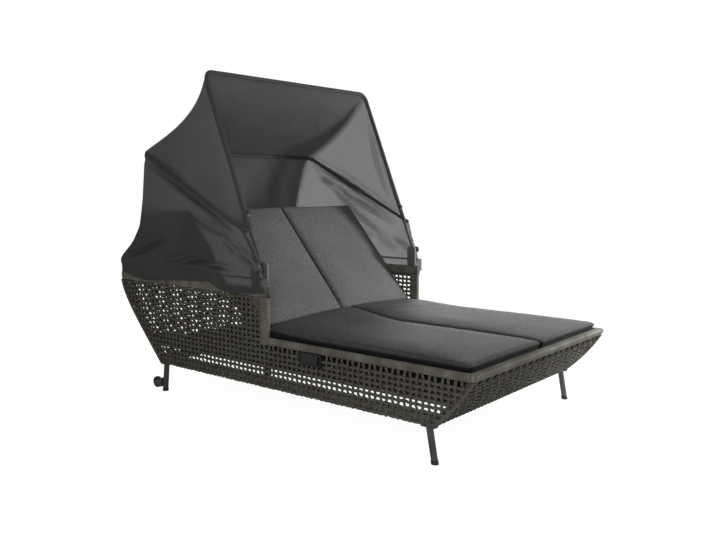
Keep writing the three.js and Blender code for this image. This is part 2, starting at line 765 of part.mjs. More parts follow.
for (const [name, side] of sides) {
  const x = side * strutOffset;
  const tube = rod([x, strutFootY, strutZ], [x, strutMouthY, strutZ], strutTubeRadius);
  const footX = [x - strutTubeRadius, x + strutTubeRadius];
  const footY = [strutFootY - strutFootLength / 2, strutFootY + strutFootLength / 2];
  const foot = bar('z', footX, footY, [strutZ - strutTubeRadius, deckBottom - seatGap], deckRound);
  const boreEnd = [x, strutMouthY + overrun, strutZ];
  const bore = rod([x, strutMouthY - strutBoreLength, strutZ], boreEnd, strutRodRadius + runGap);
  add(`strut_tube_${name}`, cut(fuse(tube, foot), bore), plasticFinish);
  const stem = rod([x, strutMouthY - strutRodInside, strutZ], [x, strutEyeY, strutZ], strutRodRadius);
  const eyeX = [x - eyeWidth / 2 + runGap, x + eyeWidth / 2 - runGap];
  const eyeY = [strutEyeY - eyeLength / 2, strutEyeY + eyeLength / 2];
  const eyeZ = [strutZ - eyeHeight / 2, strutZ + eyeHeight / 2];
  const eye = bar('x', eyeY, eyeZ, eyeX, deckRound);
  const slotY = [strutEyeY - eyeSlotLength / 2, strutEyeY + eyeSlotLength / 2];
  const slotZ = [strutZ - eyeSlotHeight / 2, strutZ + eyeSlotHeight / 2];
  const slot = bar('x', slotY, slotZ, [eyeX[0] - overrun, eyeX[1] + overrun], deckRound);
  add(`strut_rod_${name}`, cut(fuse(stem, eye), slot), steelFinish);
}

// Legs: a mounting plate under the bottom rails and a splayed tube with a level foot
const legTopZ = railBottom - seatGap;
const legPlateWidth = (halfWidth - legX - seatGap) * 2;

function leg(topY, footY, side) {
  const x = side * legX;
  const tubeTop = legTopZ - legPlateThickness / 2;
  const tube = new THREE.CylinderGeometry(legRadius, legRadius, tubeTop, legSides);
  tube.rotateX(Math.PI / 2);
  tube.translate(x, 0, tubeTop / 2);
  const lean = (topY - footY) / tubeTop;
  tube.applyMatrix4(new THREE.Matrix4().set(1, 0, 0, 0, 0, 1, lean, footY, 0, 0, 1, 0, 0, 0, 0, 1));
  const plateX = [x - legPlateWidth / 2, x + legPlateWidth / 2];
  const plateY = [topY - legPlateSize / 2, topY + legPlateSize / 2];
  const plate = bar('z', plateX, plateY, [legTopZ - legPlateThickness, legTopZ], deckRound);
  return fuse(tube, plate);
}

const frontLegY = frontBottomY + frontLegTop;
const rearLegY = rearBottomY - rearLegTop;
const rearFootY = rearLegY + rearLegSplay;
const wheelY = rearFootY + wheelBehindFoot;
const wheelZ = wheelRadius + wheelLift;

// Wheel: hub, thin web and round tyre, turned round its bore
function wheel(side) {
  const half = wheelWidth / 2;
  const bore = axleRadius + runGap;
  const hub = half + wheelHubProud;
  const web = half * wheelShares.webWidth;
  const tyreInner = wheelRadius * wheelShares.tyreInner;
  const upper = [
    [bore, hub],
    [wheelHubRadius, hub],
    [wheelHubRadius, web],
    [tyreInner, web],
    [tyreInner, half * wheelShares.tyreSide],
    [wheelRadius * wheelShares.shoulder, half * wheelShares.shoulderSide],
    [wheelRadius, half * wheelShares.tread],
  ];
  const lower = upper.map(([r, h]) => [r, -h]).reverse();
  const profile = [...upper, ...lower, upper[0]].map(([r, h]) => new THREE.Vector2(r, h));
  const turned = new THREE.LatheGeometry(profile, wheelSides);
  turned.rotateZ(Math.PI / 2);
  turned.translate(side * legX, wheelY, wheelZ);
  return fuse(turned);
}

// Fork that carries a wheel behind the rear leg: a web on the leg, two cheeks and the axle
function wheelFork(side) {
  const x = side * legX;
  const slopeAtWeb = rearLegSplay / (legTopZ - legPlateThickness / 2);
  const webFrontY = rearFootY - slopeAtWeb * forkBottom + legRadius + seatGap;
  const inside = wheelWidth / 2 + wheelHubProud + runGap;
  const outside = inside + forkPlate;
  const forkTop = forkBottom + forkHeight;
  const webY = [webFrontY, webFrontY + forkPlate];
  const pieces = [bar('x', webY, [forkBottom, forkTop], [x - outside, x + outside], seatGap)];
  for (const end of [-1, 1]) {
    const near = x + end * inside;
    const away = x + end * outside;
    const cheekX = [Math.min(near, away), Math.max(near, away)];
    const shape = new THREE.Shape();
    shape.moveTo(webFrontY, forkTop);
    shape.lineTo(webFrontY, forkBottom);
    shape.absarc(wheelY, wheelZ, forkBoss, -Math.PI / 2, Math.PI / 2);
    pieces.push(prism('x', shape, cheekX));
  }
  pieces.push(rod([x - outside, wheelY, wheelZ], [x + outside, wheelY, wheelZ], axleRadius));
  return fuse(...pieces);
}

for (const [name, side] of sides) {
  add(`leg_front_${name}`, leg(frontLegY, frontLegY - frontLegSplay, side), metalFinish);
  add(`leg_rear_${name}`, leg(rearLegY, rearFootY, side), metalFinish);
  add(`wheel_fork_${name}`, wheelFork(side), metalFinish);
  add(`wheel_${name}`, wheel(side), rubberFinish);
}

// Canopy bows: a tube from one side, up, across and down the other, drawn in its own plane as
// x across and p up the leg from the pivot
const bowPivot = [postFrontY + bowPivotBehindStep, bowPivotHeight];

function direction(degrees) {
  const turn = THREE.MathUtils.degToRad(degrees);
  return [Math.cos(turn), Math.sin(turn)];
}
const frontDirection = direction(bowAngle);
const midDirection = direction(midBowAngle);
const rivetPlace = [
  bowPivot[0] + frontDirection[0] * midBowRivet,
  bowPivot[1] + frontDirection[1] * midBowRivet,
];
const midBowX = bowX + bowRadius + midBowRadius + swingGap;

// Stations along a bow: place x, p, and the outward direction ex, ep
function bowStations(halfX, start, length, bend, legSteps, barSteps) {
  const stations = [];
  for (let k = 0; k < legSteps; k += 1) {
    const p = THREE.MathUtils.lerp(start, length - bend, k / legSteps);
    stations.push({ x: -halfX, p, ex: -1, ep: 0 });
  }
  for (let k = 0; k < bendSteps; k += 1) {
    const turn = (k / bendSteps) * (Math.PI / 2);
    const ex = -Math.cos(turn);
    const ep = Math.sin(turn);
    stations.push({ x: -halfX + bend + ex * bend, p: length - bend + ep * bend, ex, ep });
  }
  for (let k = 0; k <= barSteps / 2; k += 1) {
    stations.push({ x: (bend - halfX) * (1 - (2 * k) / barSteps), p: length, ex: 0, ep: 1 });
  }
  const other = stations.slice(0, -1).reverse();
  return [...stations, ...other.map(({ x, p, ex, ep }) => ({ x: -x, p, ex: -ex, ep }))];
}

// A curve through given points, sampled at those points
class StationCurve extends THREE.Curve {
  constructor(points) {
    super();
    this.points = points;
  }

  getPoint(t, target = new THREE.Vector3()) {
    const place = t * (this.points.length - 1);
    const index = Math.min(Math.floor(place), this.points.length - 2);
    return target.lerpVectors(this.points[index], this.points[index + 1], place - index);
  }

  getPointAt(u, target) {
    return this.getPoint(u, target);
  }

  getTangentAt(u, target) {
    return this.getTangent(u, target);
  }
}

function bowTube(halfX, tail, length, bend, radius, pivot, along) {
  const stations = bowStations(halfX, -tail, length, bend, 1, 2);
  const place = ({ x, p }) => new THREE.Vector3(x, pivot[0] + along[0] * p, pivot[1] + along[1] * p);
  const points = stations.map(place);
  const section = new THREE.Shape().absarc(0, 0, radius, 0, Math.PI * 2);
  const extrudePath = new StationCurve(points);
  const settings = { steps: points.length - 1, curveSegments: bowSectionSteps, extrudePath };
  return new THREE.ExtrudeGeometry(section, settings);
}

function bothSides(make) {
  return sides.map(([, side]) => make(side));
}

const bowBore = (side) => rod(
  [side * (bowX - bowRadius - overrun), ...bowPivot],
  [side * (bowX + bowRadius + overrun), ...bowPivot],
  pivotBoltRadius + runGap,
);
const midBowOuterX = midBowX + midBowRadius;
const midBowInnerX = midBowX - midBowRadius;
const rivetOuterX = midBowOuterX + seatGap;
const rivet = (side) => rod([side * bowX, ...rivetPlace], [side * rivetOuterX, ...rivetPlace], rivetRadius);
const rivetBore = (side) => rod(
  [side * (midBowOuterX + overrun), ...rivetPlace],
  [side * (midBowInnerX - overrun), ...rivetPlace],
  rivetRadius + runGap,
);
const frontTube = bowTube(bowX, bowTail, bowLength, bowBend, bowRadius, bowPivot, frontDirection);
add('canopy_front_bow', fuse(cut(frontTube, ...bothSides(bowBore)), ...bothSides(rivet)), metalFinish);
const midTube = bowTube(midBowX, midBowTail, midBowLength, midBowBend, midBowRadius, rivetPlace, midDirection);
add('canopy_mid_bow', cut(midTube, ...bothSides(rivetBore)), metalFinish);

// Pivot bracket on the tall rim, its bolt through the bow, and the knob on the bolt's end
const bracketOuterX = bowX - bowRadius - swingGap;
const bracketInnerX = bracketOuterX - bracketThickness;
const clothX = halfWidth + seatGap + clothThickness / 2;
const midClothX = midBowX + clothStand;
const pivotShare = (bowPivotHeight - tallRimTop) / (rivetPlace[1] - tallRimTop);
const clothAtPivotX = THREE.MathUtils.lerp(clothX, midClothX, pivotShare);
const knobInnerX = clothAtPivotX + clothThin / 2 + seatGap;

function pivotBracket(side) {
  const y = [bowPivot[0] - bracketWidth / 2, bowPivot[0] + bracketWidth / 2];
  const z = [tallRimTop + seatGap, bowPivotHeight + bracketAbovePivot];
  const plate = bar('x', y, z, mirrored([bracketInnerX, bracketOuterX], side), bracketRound);
  const footZ = [tallRimTop + seatGap, tallRimTop + seatGap + legPlateThickness];
  const footX = mirrored([bracketInnerX, bracketOuterX + bowRadius * 2], side);
  const foot = bar('z', footX, y, footZ, deckRound);
  const boltFrom = [side * (bracketInnerX + bracketThickness / 2), ...bowPivot];
  const bolt = rod(boltFrom, [side * knobInnerX, ...bowPivot], pivotBoltRadius);
  return fuse(plate, foot, bolt);
}

for (const [name, side] of sides) {
  add(`canopy_pivot_${name}`, pivotBracket(side), metalFinish);
  const knobFrom = [side * (knobInnerX + seatGap), ...bowPivot];
  const knobTo = [side * (knobInnerX + seatGap + knobThickness), ...bowPivot];
  add(`canopy_knob_${name}`, rod(knobFrom, knobTo, knobRadius, knobSides), plasticFinish);
}

// Canopy cloth. Each cloth is a thin skin between two rings of stations.
// Ring points: the cloth over a bow, in the bed's frame, with the outward direction kept
function bowRing(bowHalfX, bend, start, length, pivot, along) {
  const outerX = bowHalfX + clothStand;
  const outerBend = bend + clothStand;
  const end = length + clothStand;
  return bowStations(outerX, start, end, outerBend, legClothSteps, barClothSteps).map((station) => {
    const share = station.p / length;
    const y = pivot[0] + along[0] * station.p;
    const z = pivot[1] + along[1] * station.p;
    return { ex: station.ex, ep: station.ep, share, x: station.x, y, z };
  });
}

// The ring along the top of the tall rim, from the step round the head end
function hemRing() {
  const endY = rearFace(tallRimTop) + seatGap + clothThickness / 2;
  const stations = bowStations(clothX, postFrontY, endY, hemCorner, legClothSteps, barClothSteps);
  const z = tallRimTop + seatGap + clothThin / 2;
  return stations.map(({ x, p, ex, ep }) => ({ ex, ep, x, y: p, z }));
}

// A skin from ring to ring that covers the span between two shares, moved by its sag
function skin(from, to, rows, [low, high], sag, thickness) {
  const grid = from.map((start, i) => {
    const end = to[i];
    const line = [];
    for (let j = 0; j <= rows; j += 1) {
      const s = THREE.MathUtils.lerp(low, high, j / rows);
      const point = new THREE.Vector3().lerpVectors(start, end, s);
      line.push(point.add(sag(start, end, s, i)));
    }
    return line;
  });
  const normalAt = (i, j) => {
    const alongRing = grid[Math.min(i + 1, grid.length - 1)][j].clone().sub(grid[Math.max(i - 1, 0)][j]);
    const acrossRing = grid[i][Math.min(j + 1, rows)].clone().sub(grid[i][Math.max(j - 1, 0)]);
    return acrossRing.cross(alongRing).normalize();
  };
  const layer = (shift) => (i, j) => grid[i][j].clone().addScaledVector(normalAt(i, j), shift).toArray();
  return gridSolid(grid.length - 1, rows, layer(-thickness / 2), layer(thickness / 2));
}

const bisector = new THREE.Vector3(
  0,
  frontDirection[0] + midDirection[0],
  frontDirection[1] + midDirection[1],
).normalize();

// The roof pulls in between the bows, most at its middle
function roofSagAt(start, end, s) {
  const depth = 4 * s * (1 - s);
  const side = -start.ex * sideSag * Math.min(start.share, 1) * depth;
  return bisector.clone().multiplyScalar(-start.ep * roofSag * depth).add(new THREE.Vector3(side, 0, 0));
}

// The rear hangs in folds from the mid bow and flares out to the rim
function rearSagAt(start, end, s, i) {
  const depth = 4 * s * (1 - s) * (1 + rearSagSkew * (s - 0.5));
  const fold = foldDepth * depth * Math.sin((foldCount * Math.PI * i) / (legClothSteps + bendSteps));
  const side = -start.ex * (rearSideSag * Math.min(start.share, 1) * depth + fold * Math.abs(start.share));
  return new THREE.Vector3(side, -start.ep * (rearSag * depth + fold), 0);
}

const frontRing = bowRing(bowX, bowBend, midBowRivet + roofStart, bowLength, bowPivot, frontDirection);
const midRing = (start) => bowRing(midBowX, midBowBend, start, midBowLength, rivetPlace, midDirection);
const roofSpan = [0, 1 - ringGapShare];
const rearSpan = [ringGapShare, 1];
const roofCloth = skin(frontRing, midRing(roofStart), roofRows, roofSpan, roofSagAt, clothThin);
add('canopy_roof_cloth', roofCloth, clothFinish);
const knobHole = (side) => rod(
  [side * (clothX - clothThickness), ...bowPivot],
  [side * midClothX, ...bowPivot],
  knobRadius + swingGap,
  knobSides,
);
const rearCloth = skin(midRing(midBowTail), hemRing(), rearRows, rearSpan, rearSagAt, clothThin);
add('canopy_rear_cloth', cut(rearCloth, ...bothSides(knobHole)), clothFinish);

// Hem band round the outside of the tall rim
function hemBand() {
  const heights = [tallRimTop - hemDrop, tallRimTop + hemProud];
  const level = (z, stand) => {
    const x = halfWidth + seatGap + stand;
    const y = rearY + seatGap + stand;
    return [[-x, postFrontY, z], [-x, y, z], [x, y, z], [x, postFrontY, z]];
  };
  const inner = heights.map((z) => level(z, 0));
  const outer = heights.map((z) => level(z, clothThickness));
  return gridSolid(inner[0].length - 1, 1, (i, j) => inner[j][i], (i, j) => outer[j][i]);
}
add('canopy_hem_band', hemBand(), clothFinish);

// Release levers: a recessed bezel in each low side and a flap that is pulled out at its front end
const bezelOuterX = halfWidth + bezelProud;
const bezelInnerX = bezelOuterX - bezelDepth;
const flapPinY = bezelRearY - bezelWall - flapBarrelRadius - runGap;
const flapPinX = bezelOuterX - flapBarrelRadius - runGap * 2;
const flapZ = [bezelBottom + bezelWall + runGap, bezelTop - bezelWall - runGap];
const flapFrontY = bezelFrontY + bezelWall + flapFingerGap;

function bezel(side) {
  const bodyX = mirrored([bezelInnerX, bezelOuterX], side);
  const body = bar('x', [bezelFrontY, bezelRearY], [bezelBottom, bezelTop], bodyX, bezelRound);
  const recessX = mirrored([bezelInnerX + bezelWall, bezelOuterX + overrun], side);
  const recessY = [bezelFrontY + bezelWall, bezelRearY - bezelWall];
  const recess = bar('x', recessY, [bezelBottom + bezelWall, bezelTop - bezelWall], recessX, runGap);
  const pinEnd = [bezelBottom + bezelWall / 2, bezelTop - bezelWall / 2];
  const pinX = side * flapPinX;
  const pin = rod([pinX, flapPinY, pinEnd[0]], [pinX, flapPinY, pinEnd[1]], flapPinRadius);
  return fuse(cut(body, recess), pin);
}

function flap(side) {
  const plateX = [flapPinX - flapThickness / 2, flapPinX + flapThickness / 2];
  const plate = bar('x', [flapFrontY, flapPinY], flapZ, mirrored(plateX, side), flapRound);
  const ridgeX = [plateX[0] - flapRidge, plateX[1]];
  const ridge = bar('x', [flapFrontY, flapFrontY + flapRidge], flapZ, mirrored(ridgeX, side), flapRound);
  const x = side * flapPinX;
  const barrel = rod([x, flapPinY, flapZ[0]], [x, flapPinY, flapZ[1]], flapBarrelRadius);
  const boreFrom = [x, flapPinY, flapZ[0] - overrun];
  const boreTo = [x, flapPinY, flapZ[1] + overrun];
  return cut(fuse(plate, ridge, barrel), rod(boreFrom, boreTo, flapPinRadius + seatGap));
}

for (const [name, side] of sides) {
  add(`release_bezel_${name}`, bezel(side), plasticFinish);
  add(`release_flap_${name}`, flap(side), plasticFinish);
}

export default scene;
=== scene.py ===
# Outdoor daybed: rope-woven tray, four loose cushions, folding cloth canopy.
# Metres, Z up, +Y to the head end, X across; the origin is on the floor under the middle.
import math
import bpy
import numpy as np
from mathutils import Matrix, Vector


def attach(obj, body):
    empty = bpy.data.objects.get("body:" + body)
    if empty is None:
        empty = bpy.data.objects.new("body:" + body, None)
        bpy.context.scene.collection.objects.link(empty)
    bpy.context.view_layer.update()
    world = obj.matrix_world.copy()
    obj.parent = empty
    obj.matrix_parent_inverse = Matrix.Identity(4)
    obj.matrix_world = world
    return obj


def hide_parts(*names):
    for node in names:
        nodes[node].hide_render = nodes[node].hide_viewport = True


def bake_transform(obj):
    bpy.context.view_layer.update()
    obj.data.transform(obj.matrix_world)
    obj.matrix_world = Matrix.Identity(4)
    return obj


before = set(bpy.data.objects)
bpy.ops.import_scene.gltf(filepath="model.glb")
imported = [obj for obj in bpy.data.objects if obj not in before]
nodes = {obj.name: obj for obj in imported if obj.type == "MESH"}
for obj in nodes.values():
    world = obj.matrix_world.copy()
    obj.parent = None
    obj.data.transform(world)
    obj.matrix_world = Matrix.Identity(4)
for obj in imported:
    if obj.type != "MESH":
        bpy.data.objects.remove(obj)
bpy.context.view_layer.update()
scene = bpy.context.scene
sides = {"left": -1, "right": 1}


# camera
view = {"lens": 38.30, "sensor": 36, "place": (-2.9512, -2.4788, 1.0605), "forward": (0.7682, 0.6285, -0.1217),
        "shiftY": 0.013, "clipEnd": 60}
camera = bpy.data.objects.new("camera", bpy.data.cameras.new("camera"))
scene.collection.objects.link(camera)
camera.location = view["place"]
camera.rotation_euler = Vector(view["forward"]).to_track_quat("-Z", "Y").to_euler()
camera.data.lens = view["lens"]
camera.data.sensor_width = view["sensor"]
camera.data.shift_y = view["shiftY"]
camera.data.clip_end = view["clipEnd"]
scene.camera = camera
scene.view_settings.view_transform = "Standard"


# material helpers
def colour(code):
    # a written colour such as "57544d" as linear values
    value = np.array([int(code[k:k + 2], 16) for k in (0, 2, 4)]) / 255
    linear = np.where(value <= 0.04045, value / 12.92, ((value + 0.055) / 1.055) ** 2.4)
    return (*linear.tolist(), 1.0)


def newMaterial(name, settings):
    material = bpy.data.materials.new(name)
    material.use_nodes = True
    shader = material.node_tree.nodes["Principled BSDF"]
    for socket, value in settings.items():
        shader.inputs[socket].default_value = value
    return material, material.node_tree, shader


def addNode(tree, kind, inputs=None, **settings):
    made = tree.nodes.new("ShaderNode" + kind)
    for key, value in settings.items():
        setattr(made, key, value)
    for socket, value in (inputs or {}).items():
        if isinstance(value, bpy.types.NodeSocket):
            tree.links.new(value, made.inputs[socket])
        else:
            made.inputs[socket].default_value = value
    return made


def calc(tree, operation, first, second=0.0):
    return addNode(tree, "Math", {0: first, 1: second}, operation=operation).outputs[0]


def noise(tree, vector, scale, detail=2.0):
    made = addNode(tree, "TexNoise", {"Vector": vector, "Scale": scale, "Detail": detail})
    return made.outputs["Fac"]


def blendColours(tree, share, first, second):
    made = addNode(tree, "Mix", data_type="RGBA")
    for socket, value in (("Factor", share), ("A", first), ("B", second)):
        spot = [s for s in made.inputs if s.name == socket and s.enabled][0]
        if isinstance(value, bpy.types.NodeSocket):
            tree.links.new(value, spot)
        else:
            spot.default_value = colour(value)
    return [s for s in made.outputs if s.enabled][0]


def spread(tree, value, low, high):
    # stretches a value so that low becomes 0 and high becomes 1
    return addNode(tree, "MapRange", {"Value": value, "From Min": low, "From Max": high}).outputs[0]


def between(tree, value, low, high):
    # low where the value is 0 and high where it is 1
    return addNode(tree, "MapRange", {"Value": value, "To Min": low, "To Max": high}).outputs[0]


def addBump(tree, shader, height, distance, strength=1.0):
    made = addNode(tree, "Bump", {"Height": height, "Distance": distance, "Strength": strength})
    tree.links.new(made.outputs["Normal"], shader.inputs["Normal"])


def uvParts(tree):
    uv = addNode(tree, "UVMap", uv_map="lay").outputs["UV"]
    parts = addNode(tree, "SeparateXYZ", {"Vector": uv})
    return uv, parts.outputs["X"], parts.outputs["Y"]


def objectPlace(tree):
    return addNode(tree, "TexCoord").outputs["Object"]


# materials
ropeLook = {"brown": "48433a", "twist": 0.011, "fibre": 900.0, "fibreShare": 0.3, "patch": 14.0, "patchEdges": (0.35, 0.68),
            "shadeEdges": (0.1, 1.1), "surface": {"Roughness": 0.82, "Specular IOR Level": 0.25}}


def makeRope(name, dark, light, relief):
    # twisted rope: bright ridges run slantwise round the strand, with patches of another dye
    material, tree, shader = newMaterial(name, ropeLook["surface"])
    uv, along, around = uvParts(tree)
    turn = calc(tree, "ADD", calc(tree, "DIVIDE", along, ropeLook["twist"]), around)
    ridge = calc(tree, "ABSOLUTE", calc(tree, "SINE", calc(tree, "MULTIPLY", turn, math.pi)))
    place = objectPlace(tree)
    fibre = noise(tree, place, ropeLook["fibre"], 1.0)
    patch = spread(tree, noise(tree, place, ropeLook["patch"], 3.0), *ropeLook["patchEdges"])
    height = calc(tree, "ADD", ridge, calc(tree, "MULTIPLY", fibre, ropeLook["fibreShare"]))
    tone = blendColours(tree, patch, light, ropeLook["brown"])
    shade = spread(tree, height, *ropeLook["shadeEdges"])
    tree.links.new(blendColours(tree, shade, dark, tone), shader.inputs["Base Color"])
    addBump(tree, shader, height, relief)
    return material


wovenRope = makeRope("wovenRope", "26251f", "504f47", relief=0.0009)
wrappedRope = makeRope("wrappedRope", "3c3b34", "67665c", relief=0.0005)

# cloud: scale, detail and the two edges; grain: scale and detail; rough: lowest and highest
moulded = {"cloud": (60.0, 3.0, 0.45, 0.75), "grain": (1400.0, 1.0), "relief": 0.00012}
hardLooks = {
    # the coated frame's dark colour also stands in for painted shade on the stile and post members behind the net
    "coatedFrameAndShade": {"surface": {"Metallic": 0.25}, "tones": ("2c2a28", "3d3a37"), "cloud": (9.0, 2.0, 0.35, 0.65),
                    "grain": (700.0, 2.0), "rough": (0.38, 0.58), "relief": 0.00018},
    "bareSteel": {"surface": {"Metallic": 1.0}, "tones": ("8f9193", "c4c6c8"), "stretch": (900.0, 25.0, 900.0),
                  "grain": (1.0, 2.0), "rough": (0.24, 0.42), "relief": 0.00005},
    "blackPlastic": {"surface": {"Roughness": 0.5, "Specular IOR Level": 0.4}, "tones": ("141414", "212121"), **moulded},
    "greyCap": {"surface": {"Roughness": 0.6, "Specular IOR Level": 0.4}, "tones": ("3e3e3e", "4c4c4c"), **moulded},
    "wheelRubber": {"surface": {"Roughness": 0.85, "Specular IOR Level": 0.4}, "tones": ("1b1b1b", "282726"), **moulded}}


def makeHard(name):
    # two tones in soft clouds, or along the grain where there is no cloud, and a fine grain in the height
    look = hardLooks[name]
    material, tree, shader = newMaterial(name, look["surface"])
    place = objectPlace(tree)
    if "stretch" in look:
        place = addNode(tree, "Mapping", {"Vector": place, "Scale": look["stretch"]}).outputs["Vector"]
    grain = noise(tree, place, *look["grain"])
    share = grain
    if "cloud" in look:
        scale, detail, low, high = look["cloud"]
        share = spread(tree, noise(tree, place, scale, detail), low, high)
    tree.links.new(blendColours(tree, share, *look["tones"]), shader.inputs["Base Color"])
    if "rough" in look:
        tree.links.new(between(tree, grain, *look["rough"]), shader.inputs["Roughness"])
    addBump(tree, shader, grain, look["relief"])
    return material


coatedAndShade, steel, blackPlastic, greyCap, rubber = [makeHard(name) for name in hardLooks]
greyCoat = newMaterial("greyCoat", {"Roughness": 0.7, "Base Color": colour("4a4a4a")})[0]

matt = {"Roughness": 0.95, "Specular IOR Level": 0.1, "Sheen Weight": 0.015, "Sheen Roughness": 0.5}
satin = {"Roughness": 0.6, "Specular IOR Level": 0.3, "Sheen Weight": 0.02, "Sheen Roughness": 0.4}
clothLooks = {
    # seat and back cushions share one fabric; the seat's colours are written darker than the back's as painted shade,
    # for the lesser light on the seat's top
    "shadedSeatFabric": {"surface": matt, "base": "444444", "high": "4d4d4d", "shadow": "262626", "thread": 0.0018,
                   "border": "141414"},
    "backFabric": {"surface": matt, "base": "5e5e5e", "high": "686868", "shadow": "3a3a3a", "thread": 0.0018,
                   "border": "2a2a2a"},
    "canopyCloth": {"surface": satin, "base": "484848", "high": "555555", "shadow": "222222", "thread": 0.0012,
                    "crumple": 0.012, "through": "bcbcbc", "share": 0.43}}
threadLook = {"relief": 0.00025, "slub": (60.0, 420.0), "cloud": 5.0, "cloudEdges": (0.3, 0.7), "weaveTone": 0.25,
              "toneEdges": (0.70, 1.30), "weaveHeight": 0.5, "creaseScale": 13.0, "creaseBend": 0.5}


def makeCloth(name):
    # plain weave: the height is sin(across) · sin(along), which puts every thread over and under
    look = clothLooks[name]
    material, tree, shader = newMaterial(name, look["surface"])
    uv, along, across = uvParts(tree)
    waves = [calc(tree, "SINE", calc(tree, "MULTIPLY", part, 2 * math.pi / look["thread"])) for part in (along, across)]
    weave = calc(tree, "MULTIPLY", waves[0], waves[1])
    coarse, fine = threadLook["slub"]
    slubs = []
    for scale in ((coarse, fine, 1.0), (fine, coarse, 1.0)):
        stretched = addNode(tree, "Mapping", {"Vector": uv, "Scale": scale}).outputs["Vector"]
        slubs.append(noise(tree, stretched, 1.0))
    slub = calc(tree, "ADD", *slubs)
    cloud = spread(tree, noise(tree, objectPlace(tree), threadLook["cloud"], 3.0), *threadLook["cloudEdges"])
    tone = blendColours(tree, cloud, look["base"], look["high"])
    share = calc(tree, "ADD", slub, calc(tree, "MULTIPLY", weave, threadLook["weaveTone"]))
    tone = blendColours(tree, spread(tree, share, *threadLook["toneEdges"]), look["shadow"], tone)
    if "border" in look:
        edge = addNode(tree, "Attribute", attribute_name="border").outputs["Fac"]
        tone = blendColours(tree, edge, tone, look["border"])
    tree.links.new(tone, shader.inputs["Base Color"])
    height = calc(tree, "ADD", calc(tree, "MULTIPLY", weave, threadLook["weaveHeight"]), slub)
    if "crumple" in look:
        # soft creases a few centimetres apart, added to the thread's height
        bent = addNode(tree, "TexNoise", {"Vector": objectPlace(tree), "Scale": threadLook["creaseScale"], "Detail": 2.0,
                                          "Distortion": threadLook["creaseBend"]}).outputs["Fac"]
        height = calc(tree, "ADD", height, calc(tree, "MULTIPLY", bent, look["crumple"] / threadLook["relief"]))
    addBump(tree, shader, height, threadLook["relief"])
    if "through" in look:
        thin = addNode(tree, "BsdfTranslucent", {"Color": colour(look["through"])})
        mixed = addNode(tree, "MixShader", {0: look["share"], 1: shader.outputs[0], 2: thin.outputs[0]})
        tree.links.new(mixed.outputs[0], tree.nodes["Material Output"].inputs["Surface"])
    return material


shadedSeatFabric, backFabric, canopyCloth = [makeCloth(name) for name in clothLooks]
print("materials made")


# mesh helpers
def makePiece(name, points, faces, material, body=None, uv=None, smooth=True):
    # faces: index arrays with 3, 4 or more columns; uv: arrays of the same shapes with u and v
    mesh = bpy.data.meshes.new(name)
    points = np.asarray(points, np.float32).reshape(-1, 3)
    mesh.vertices.add(len(points))
    mesh.vertices.foreach_set("co", points.ravel())
    corners = np.concatenate([f.ravel() for f in faces]).astype(np.int32)
    sizes = np.concatenate([np.full(len(f), f.shape[1]) for f in faces])
    starts = np.concatenate([[0], np.cumsum(sizes)[:-1]]).astype(np.int32)
    mesh.loops.add(len(corners))
    mesh.loops.foreach_set("vertex_index", corners)
    mesh.polygons.add(len(sizes))
    mesh.polygons.foreach_set("loop_start", starts)
    if uv is not None:
        flat = np.concatenate([u.reshape(-1, 2) for u in uv]).astype(np.float32)
        mesh.uv_layers.new(name="lay").data.foreach_set("uv", flat.ravel())
    mesh.update(calc_edges=True)
    mesh.validate()
    mesh.polygons.foreach_set("use_smooth", np.full(len(mesh.polygons), smooth))
    mesh.materials.append(material)
    piece = bpy.data.objects.new(name, mesh)
    scene.collection.objects.link(piece)
    if body:
        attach(piece, body)
    return piece


def makePart(name, part, material, body="root", smooth=True):
    # part is what tubes() gives: points, faces and corner values
    points, faces, uv = part
    return makePiece(name, points, faces, material, body, uv, smooth)


def lerp(a, b, t):
    return a + (b - a) * t


def gridQuads(rows, columns, closed=False):
    # quads between neighbouring rows and columns; closed joins the last column to the first
    r = np.arange(rows - 1)[:, None]
    c = np.arange(columns if closed else columns - 1)[None, :]
    n = (c + 1) % columns
    quads = [r * columns + c, r * columns + n, (r + 1) * columns + n, (r + 1) * columns + c]
    return np.stack(np.broadcast_arrays(*quads), axis=-1).reshape(-1, 4)


def gridUv(u, v):
    # corner values for gridQuads of an open grid, or of a closed one when v has one entry more
    rows, columns = len(u) - 1, len(v) - 1
    a, b = np.meshgrid(np.arange(rows), np.arange(columns), indexing="ij")
    corners = [(u[a], v[b]), (u[a], v[b + 1]), (u[a + 1], v[b + 1]), (u[a + 1], v[b])]
    return np.stack([np.stack(pair, axis=-1) for pair in corners], axis=2).reshape(-1, 4, 2)


